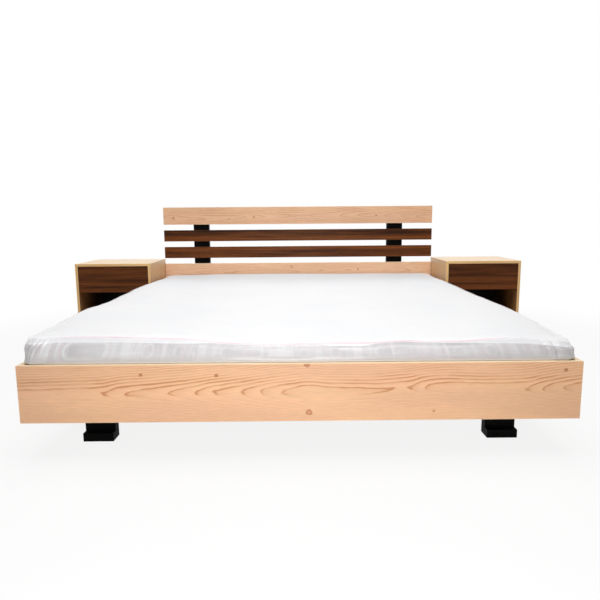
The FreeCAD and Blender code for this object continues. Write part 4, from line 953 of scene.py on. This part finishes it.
def liftMattress(plan, parts):
    # top = crown + tape's wave + unevenness; crown = height (1 - exp(-distance inwards / reach)); the wave at a point
    # is the mean of the four edges' lines, each weighted by exp(-(distance / reach)^2), and dies out inwards as
    # 1 - the product of (1 - weight)
    def shapeUp(points, share):
        # height + share (crown + wave + unevenness)
        x, y, z = points[..., 0], points[..., 1], points[..., 2]
        away = {
            "front": y + plan["halfLength"], "head": plan["halfLength"] - y,
            "left": x + plan["halfWidth"], "right": plan["halfWidth"] - x,
        }
        line = {edge: softLine(plan[edge], y + plan["centreY"], plan["waveBlur"]) for edge in ("left", "right")}
        line.update(front=softLine(plan["front"], x, plan["waveBlur"]), head=plan["head"])
        weight = {edge: bell(away[edge], plan["reach"][edge]) for edge in away}
        total = sum(weight.values())
        wave = sum(weight[edge] * (line[edge] - plan["tapeHeight"]) for edge in away) / np.maximum(total, tiny)
        live = 1.0 - np.prod([1.0 - weight[edge] for edge in away], axis=0)
        inward = np.min([away[edge] for edge in away], axis=0) - plan["profile"][0][0]
        change = plan["crown"] * (1.0 - np.exp(-np.clip(inward, 0.0, None) / plan["crownReach"])) + wave * live
        flat = points * (1, 1, 0) + plan["topOrigin"]
        for step, (rise, cell) in enumerate(plan["swells"]):
            change = change + rise * latticeNoise(flat, cell, plan["seed"] + step, plan["lattice"])
        return z + share * change

    parts["top"][:, 2] = shapeUp(parts["top"], 1.0)
    share = smoothStep(parts["profile"][:, 1], *plan["waveAbove"])[:, None]
    parts["side"][..., 2] = shapeUp(parts["side"], share)
    return parts


def foldSides(plan, parts):
    # bulges and crumples of the cover, and leaning folds: rise / (1 + (distance / width)^2)^2 about a leaning line,
    # less a wider, shallower hollow of the same form
    around, heights, loop = parts["around"], parts["profile"][:, 1], parts["loop"]
    fadeLow, fadeHigh, fadeShare = plan["foldFade"]
    live = smoothStep(heights, *plan["foldAbove"]) * (1.0 - fadeShare * smoothStep(heights, fadeLow, fadeHigh))
    rows = np.stack(np.broadcast_arrays(around[None], heights[:, None], 0.0), -1) + plan["sideOrigin"]
    sideSeed = plan["seed"] + len(plan["swells"])
    move = -plan["drawIn"]
    for step, (rise, cell) in enumerate(plan["bulges"]):
        move = move + rise * latticeNoise(rows, cell, sideSeed + step, plan["lattice"])
    hollowShare, hollowWidth = plan["foldHollow"]
    for place, lean, width, rise in plan["folds"]:
        gap = around[None] - place - lean * (heights[:, None] - plan["foldMiddle"])
        gap = ((gap + loop / 2.0) % loop - loop / 2.0) / width
        move = move + rise / (1.0 + gap ** 2) ** 2
        move = move - hollowShare * abs(rise) / (1.0 + (gap / hollowWidth) ** 2) ** 2
    parts["side"] = parts["side"] + (move * live[:, None])[..., None] * parts["sideLift"]
    return parts


def joinMattress(plan, parts):
    # one closed mesh: the side's first and last rows are the rims of the top and the bottom grid
    countY, countX = parts["shape"]
    columns = len(parts["rim"])
    topCount = countX * countY
    innerRows = parts["side"][1:-1].reshape(-1, 3)
    points = np.concatenate([parts["top"], parts["bottom"], innerRows])
    points += (0.0, plan["centreY"], plan["base"])
    middle = 2 * topCount + np.arange(innerRows.shape[0]).reshape(-1, columns)
    rows = np.concatenate([parts["rim"][None], middle, parts["rim"][None] + topCount])
    grid = np.arange(topCount).reshape(countY, countX)
    flatFaces = np.concatenate([quadGrid(grid), quadGrid(grid + topCount)[:, ::-1]])
    faces = np.concatenate([flatFaces, quadStrip(rows)])
    mesh = bpy.data.meshes.new("mattress_cover")
    mesh.vertices.add(len(points))
    mesh.vertices.foreach_set("co", points.ravel())
    mesh.loops.add(faces.size)
    mesh.loops.foreach_set("vertex_index", faces.ravel().astype(np.int32))
    mesh.polygons.add(len(faces))
    mesh.polygons.foreach_set("loop_start", np.arange(0, faces.size, 4, dtype=np.int32))
    mesh.polygons.foreach_set("use_smooth", np.ones(len(faces), dtype=bool))

    # the cover's own map: along the rim and down the profile, in metres; plain x and y on top and below
    around = np.append(parts["around"], parts["loop"])
    down = parts["spots"]
    mapU = np.stack([around[:-1], around[:-1], around[1:], around[1:]], 1)
    mapV = np.stack([down[:-1], down[1:], down[1:], down[:-1]], 1)
    sideMap = np.stack(np.broadcast_arrays(mapU[None], mapV[:, None]), -1).reshape(-1, 2)
    layer = mesh.uv_layers.new(name="coverMap")
    layer.data.foreach_set("uv", np.concatenate([points[flatFaces.ravel(), :2], sideMap]).ravel())
    part = (np.arange(len(faces)) >= len(flatFaces)).astype(np.int32)   # 0: ticking, 1: border
    mesh.polygons.foreach_set("material_index", part)
    mesh.update(calc_edges=True)
    mesh.validate()
    return mesh


tickingFinish = {
    "white": (0.87, 0.87, 0.875), "cool": (0.84, 0.85, 0.865), "rose": (0.87, 0.845, 0.855),
    "shade": (0.835, 0.860, 0.886), "headShadeRamp": (-0.10, 0.65),   # painted shade: a darker, cooler white towards the headboard, by y
    "bump": (0.20, 0.003), "levels": {"Specular IOR Level": 0.25, "Sheen Weight": 0.10},
    "noises": {
        "cloud": ((3.0, 3.0, 3.0), 3.0), "spots": ((14.0, 14.0, 4.0), 3.0), "knit": ((420.0, 420.0, 420.0), 1.0),
        "crinkle": ((9.0, 26.0, 9.0), 4.0, 0.6),
    },
    "ramps": {
        "coolShare": ("cloud", 0.40, 0.70), "roseShare": ("spots", 0.58, 0.74, 0.0, 0.6),
        "roughness": ("crinkle", 0.3, 0.7, 0.55, 0.75),
    },
    "relief": {"crinkle": 2.0, "knit": 0.12},
}
borderFinish = {
    "white": (0.87, 0.87, 0.875),
    "border": (0.675, 0.660, 0.672), "borderDark": (0.585, 0.572, 0.585), "blush": (0.685, 0.630, 0.645),
    "line": (0.775, 0.765, 0.778), "pink": (0.735, 0.660, 0.672), "panel": (0.565, 0.556, 0.572),
    # the pale colour serves the woven figures' pale marks and the film's painted sheen
    "tape": (0.91, 0.915, 0.935), "pinkLine": (0.80, 0.535, 0.590), "film": (0.82, 0.82, 0.83),
    # painted shade on the border's foot, beside the footboard
    "rubWearAndShade": (0.52, 0.50, 0.505),
    "bump": (0.25, 0.002),
    "levels": {"Specular IOR Level": 0.40, "Coat Weight": 0.35, "Coat Roughness": 0.14},
    "noises": {
        "sway": ((22.0, 22.0, 30.0),), "cloud": ((9.0, 9.0, 14.0), 4.0, 0.6),
        "tint": ((17.0, 17.0, 30.0), 3.0, 0.5, (3.0, 1.0, 5.0)), "haze": ((3.2, 3.2, 9.0), 3.0, 0.5, (7.0, 2.0, 0.0)),
        "creases": ((7.0, 7.0, 130.0), 3.0, 0.6, (1.0, 4.0, 2.0)), "threads": ((60.0, 60.0, 520.0),),
        "crinkle": ((60.0, 60.0, 24.0), 4.0, 0.6),
    },
    "ramps": {
        # painted sheen of the film: its clouds fade the figures and whiten the border, its creases add white streaks
        "hazeShow": ("haze", 0.42, 0.70, 1.0, 0.62), "cloudShow": ("cloud", 0.35, 0.65, 1.0, 0.80),
        "darkShare": ("cloud", 0.35, 0.70), "blushShare": ("tint", 0.45, 0.68, 0.0, 0.8),
        "threadTone": ("threads", 0.3, 0.7, 0.965, 1.035), "hazeShare": ("haze", 0.52, 0.72, 0.0, 0.40),
        "creaseShare": ("creases", 0.55, 0.72, 0.0, 0.50), "pipingCloud": ("cloud", 0.35, 0.6, 0.6, 1.0),
        "roughness": ("crinkle", 0.3, 0.7, 0.30, 0.55),
    },
    "relief": {"crinkle": 1.6, "creases": 1.0, "threads": 0.12},
    # faint upright bands, on the cover's map: noise, then its ramps to pale and to rosy
    "bands": ((34.0, 1.5, 1.0), 3.0, 0.6, (2.0, 9.0, 0.0)),
    "bandTints": (((0.54, 0.66, 0.0, 0.55), "line"), ((0.46, 0.36, 0.0, 0.60), "blush")),
    "period": 0.5175, "start": 0.194, "sway": 0.012,   # length of a repeat, the first frame's middle, unevenness
    "middle": 0.060,                       # down the side from the top patch
    "frame": (0.100, 0.054, 0.050),        # half length, half height, corner
    "panelDepth": (0.036, 0.042),
    "rings": ((0.000, 0.012, "line"), (0.013, 0.020, "pink"), (0.025, 0.034, "film")),
    "stripes": ((0.118, 0.146, "film"), (0.152, 0.157, "pink"), (0.165, 0.172, "line"), (0.252, 0.280, "line")),
    "ringSoft": 0.0030, "stripeSoft": 0.0028,
    "oval": (0.207, 0.021, 0.026),         # middle, half length, half height
    "ovalRing": (0.60, 1.0, 0.13), "ovalShare": 0.8,
    # how clearly the woven figures show along the rim, and painted shade that darkens the border towards its front
    # corners
    "figureShow": (
        (0.0, 0.75), (0.08, 1.0), (0.36, 0.95), (0.50, 0.58), (0.66, 0.36), (1.00, 0.34), (1.15, 0.32), (1.40, 0.32),
        (1.60, 0.42), (1.76, 0.30), (2.2, 0.75), (7.2, 0.75), (7.80, 0.75),
    ),
    "rimEndShade": (
        (0.0, 0.92), (0.15, 0.955), (0.50, 0.975), (1.35, 0.965), (1.60, 0.925), (1.82, 0.88), (2.6, 0.97),
        (7.80, 0.95),
    ),
    # painted highlights on the film's creases: place along the rim and down the side, half length, half height,
    # strength
    "glare": (
        (0.842, 0.064, 0.042, 0.013, 0.85), (1.075, 0.044, 0.040, 0.006, 0.75), (0.345, 0.062, 0.007, 0.030, 0.55),
    ),
    "glareSoft": (0.010, 0.006), "glareFrom": (0.35, 0.60, 0.3),
    "creaseSheenAbove": (0.342, 0.358), "footShadeFrom": (0.364, 0.340, 0.0, 0.66), "footLightFrom": (0.3375, 0.3325),   # heights; the foot's painted shade, and a painted lighter band at its lowest edge
    # pink piping down the side and how it shows along the rim; lower edge of the white tape along the rim
    "piping": (0.0180, 0.0232), "pipingSoft": 0.0008, "whiteEnd": (-0.0008, 0.0004),
    "pipingShow": (
        (0.0, 0.10), (0.06, 0.25), (0.15, 0.55), (0.35, 0.90), (1.50, 0.95), (1.60, 0.45), (1.70, 0.15), (1.85, 0.15),
        (2.1, 0.7), (3.5, 0.7), (3.8, 0.2), (4.1, 0.7), (5.3, 0.7), (5.6, 0.2), (6.0, 0.7), (7.4, 0.7), (7.80, 0.1),
    ),
    "tapeEnd": (
        (0.0, 0.037), (0.45, 0.036), (0.57, 0.031), (0.66, 0.0245), (0.97, 0.0245), (1.02, 0.030), (1.12, 0.030),
        (1.16, 0.0245), (1.36, 0.0255), (1.50, 0.030), (1.60, 0.037), (1.78, 0.038), (2.20, 0.036), (7.80, 0.036),
    ),
    "tapeEdge": (-0.0016, 0.0016, 0.92, 0.0),
}


def weighedSum(field, weights):
    # each named field times its weight, added up
    total = 0.0
    for name, weight in weights.items():
        total = total + field[name] * weight
    return total


def coverTop():
    # white ticking under clear film: faint clouds, a fine knit and long soft crinkles on the bump, and painted shade,
    # darker and cooler, towards the headboard
    finish = tickingFinish
    paint = Paint("mattressTop", finish)
    field = paint.fields()
    colour = paint.mix(field["coolShare"], finish["white"], finish["cool"])
    colour = paint.mix(field["roseShare"], colour, finish["rose"])
    # painted shade towards the headboard
    colour = paint.mix(paint.point["Y"].ramp(*finish["headShadeRamp"]), colour, finish["shade"])
    return paint.close(colour, field["roughness"], weighedSum(field, finish["relief"]))


def frameDepth(sideways, downward, frame):
    # depth inside a rounded oblong = corner - distance to its core oblong
    halfLong, halfHigh, corner = frame
    overX, overY = sideways - (halfLong - corner), downward - (halfHigh - corner)
    reach = lengthOf(overX.higher(0.0), overY.higher(0.0))
    within = overX.higher(overY).lower(0.0)
    return corner - (reach + within)


def coverBorder():
    # woven border: concentric rounded frames, upright stripes and ovals repeat along the rim, under clear film
    # whose painted sheen washes them out in clouds and long thin creases
    finish = borderFinish
    paint = Paint("mattressBorder", finish)
    field = paint.fields()
    mapNode = paint.tree.nodes.new("ShaderNodeUVMap")
    mapNode.uv_map = "coverMap"
    coverMap = Field(paint.tree, mapNode.outputs[0])
    spot = coverMap.axes()
    rimward, down, height = spot["X"], spot["Y"], paint.point["Z"]
    repeat = ((rimward - finish["start"]) / finish["period"] + 0.5).fraction() - 0.5
    sideways = abs(repeat * finish["period"] + field["sway"].swing(finish["sway"]))
    downward = abs(down - finish["middle"])
    deep = frameDepth(sideways, downward, finish["frame"])

    # the clouds of painted sheen also fade the woven figures
    strength = field["hazeShow"] * field["cloudShow"] * rimward.curve(finish["figureShow"])
    colour = paint.mix(field["darkShare"], finish["border"], finish["borderDark"])
    colour = paint.mix(field["blushShare"], colour, finish["blush"])
    colour = paint.mix(deep.ramp(*finish["panelDepth"]) * strength, colour, finish["panel"])
    for marks, place, soft in (("rings", deep, "ringSoft"), ("stripes", sideways, "stripeSoft")):
        for low, high, tint in finish[marks]:
            colour = paint.mix(place.between(low, high, finish[soft]) * strength, colour, finish[tint])
    ovalMiddle, ovalLong, ovalHigh = finish["oval"]
    ovalAway = lengthOf((sideways - ovalMiddle) / ovalLong, downward / ovalHigh)
    ovalMark = ovalAway.between(*finish["ovalRing"]) * strength
    colour = paint.mix(ovalMark * finish["ovalShare"], colour, finish["line"])
    bands = paint.grain(*finish["bands"], coverMap)
    for ends, tint in finish["bandTints"]:
        colour = paint.mix(bands.ramp(*ends), colour, finish[tint])

    # painted sheen of the film: clouds, creases above the frame and highlight patches; then painted shade towards the
    # rim's front corners and on the foot, with a painted lighter band at its lowest edge
    colour = paint.scale(colour, field["threadTone"])
    colour = paint.mix(field["hazeShare"], colour, finish["film"])
    colour = paint.mix(field["creaseShare"] * height.ramp(*finish["creaseSheenAbove"]), colour, finish["film"])
    softLong, softHigh = finish["glareSoft"]
    for glareU, glareV, glareLong, glareHigh, amount in finish["glare"]:
        patch = rimward.between(glareU - glareLong, glareU + glareLong, softLong)
        patch = patch * down.between(glareV - glareHigh, glareV + glareHigh, softHigh)
        colour = paint.mix(patch * field["creases"].ramp(*finish["glareFrom"], amount), colour, finish["film"])
    # painted shade: darker towards the front corners
    colour = paint.scale(colour, rimward.curve(finish["rimEndShade"]))
    # painted shade on the border's foot, then a painted lighter band at its lowest edge
    colour = paint.mix(height.ramp(*finish["footShadeFrom"]), colour, finish["rubWearAndShade"])
    colour = paint.mix(height.ramp(*finish["footLightFrom"]), colour, finish["film"])

    low, high = finish["piping"]
    whiteLow, whiteHigh = finish["whiteEnd"]
    tape = (down - rimward.curve(finish["tapeEnd"])).ramp(*finish["tapeEdge"])
    colour = paint.mix(tape, colour, finish["tape"])
    colour = paint.mix(down.ramp(low + whiteLow, low + whiteHigh, 1.0, 0.0), colour, finish["white"])
    shown = rimward.curve(finish["pipingShow"]) * field["pipingCloud"]
    colour = paint.mix(down.between(low, high, finish["pipingSoft"]) * shown, colour, finish["pinkLine"])
    return paint.close(colour, field["roughness"], weighedSum(field, finish["relief"]))


def layMattress(plan):
    # flat form, then waves, then folds; the mesh stands for the plain solid and rides on the bed
    parts = foldSides(plan, liftMattress(plan, buildMattress(plan)))
    mesh = joinMattress(plan, parts)
    mesh.materials.append(coverTop())
    mesh.materials.append(coverBorder())
    piece = bpy.data.objects.new("mattress_cover", mesh)
    scene.collection.objects.link(piece)
    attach(piece, "bed_and_tables")
    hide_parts("mattress")
    return piece


mattressPiece = layMattress(mattressPlan)
print("mattress:", len(mattressPiece.data.polygons), "faces,", [round(size, 4) for size in mattressPiece.dimensions])

# floor and light: white to the eye, with the object's own soft shadow near it
floorPlan = {
    "half": 40.0, "grey": (0.86, 0.86, 0.86), "levels": {"Roughness": 1.0, "Specular IOR Level": 0.0},
    "near": 0.86, "shadowReach": (1.9, 3.2),   # share of plain white near the bed; where it becomes all
}
skyPlan = {"ambient": 0.10}
lampPlan = {
    "front": {"place": (-0.02, -2.60, 0.55), "aim": (-0.01, -1.0, 0.25), "size": (0.8, 0.6), "power": 15.4},
    "overhead": {"place": (0.0, -0.6, 3.2), "aim": (0.0, 0.1, 0.4), "size": (3.2, 3.2), "power": 93.0},
    "behind": {"place": (0.0, 2.7, 2.6), "aim": (0.0, 0.1, 0.4), "size": (3.6, 1.0), "power": 26.5},
    "leftFill": {"place": (-3.6, 0.9, 1.1), "aim": (0.0, 0.1, 0.3), "size": (2.0, 1.2), "power": 11.0},
    "rightFill": {"place": (3.6, 0.9, 1.1), "aim": (0.0, 0.1, 0.3), "size": (2.0, 1.2), "power": 11.0},
    "rearFill": {"place": (0.0, 3.8, 1.2), "aim": (0.0, 1.0, 0.4), "size": (2.6, 1.2), "power": 15.0},
}


def seenDirectly(tree):
    # 1 for rays from the camera, off gloss and through glass
    path = tree.nodes.new("ShaderNodeLightPath")
    rays = [Field(tree, path.outputs["Is %s Ray" % kind]) for kind in ("Camera", "Glossy", "Transmission")]
    return rays[0].higher(rays[1]).higher(rays[2])


def makeFloor(plan):
    # share of plain white grows from near the bed outwards, so that no horizon line shows
    half = plan["half"]
    mesh = bpy.data.meshes.new("floor")
    mesh.from_pydata([(-half, -half, 0), (half, -half, 0), (half, half, 0), (-half, half, 0)], [], [(0, 1, 2, 3)])
    paint = Paint("studioFloor", plan)
    tree, inputs = paint.tree, paint.shader.inputs
    feed(tree, inputs["Base Color"], plan["grey"])
    for key, level in plan["levels"].items():
        inputs[key].default_value = level
    away = lengthOf(paint.point["X"], paint.point["Y"])
    white = tree.nodes.new("ShaderNodeEmission")
    mix = tree.nodes.new("ShaderNodeMixShader")
    feed(tree, mix.inputs[0], away.ramp(*plan["shadowReach"], plan["near"], 1.0) * seenDirectly(tree))
    tree.links.new(paint.shader.outputs[0], mix.inputs[1])
    tree.links.new(white.outputs[0], mix.inputs[2])
    tree.links.new(mix.outputs[0], paint.output.inputs["Surface"])
    mesh.materials.append(paint.material)
    floor = bpy.data.objects.new("floor", mesh)
    scene.collection.objects.link(floor)


def makeSky(plan):
    # a white surround to the eye, a dimmer one for the light that falls on the object
    world = bpy.data.worlds.new("studio")
    scene.world = world
    world.use_nodes = True
    tree = world.node_tree
    background = tree.nodes["Background"]
    background.inputs["Color"].default_value = (1.0, 1.0, 1.0, 1.0)
    strength = seenDirectly(tree).ramp(0.0, 1.0, plan["ambient"], 1.0, way="LINEAR")
    feed(tree, background.inputs["Strength"], strength)


def hangLamps(plan):
    # oblong area lamps, each turned from its place towards its aim
    for name, settings in plan.items():
        light = bpy.data.lights.new(name, "AREA")
        light.shape = "RECTANGLE"
        light.size, light.size_y = settings["size"]
        light.energy = settings["power"]
        lamp = bpy.data.objects.new(name, light)
        lamp.location = settings["place"]
        toward = Vector(settings["aim"]) - Vector(settings["place"])
        lamp.rotation_euler = toward.to_track_quat("-Z", "Y").to_euler()
        lamp.visible_camera = False
        scene.collection.objects.link(lamp)


makeFloor(floorPlan)
makeSky(skyPlan)
hangLamps(lampPlan)
print("studio: floor, surround and", len(lampPlan), "lamps")
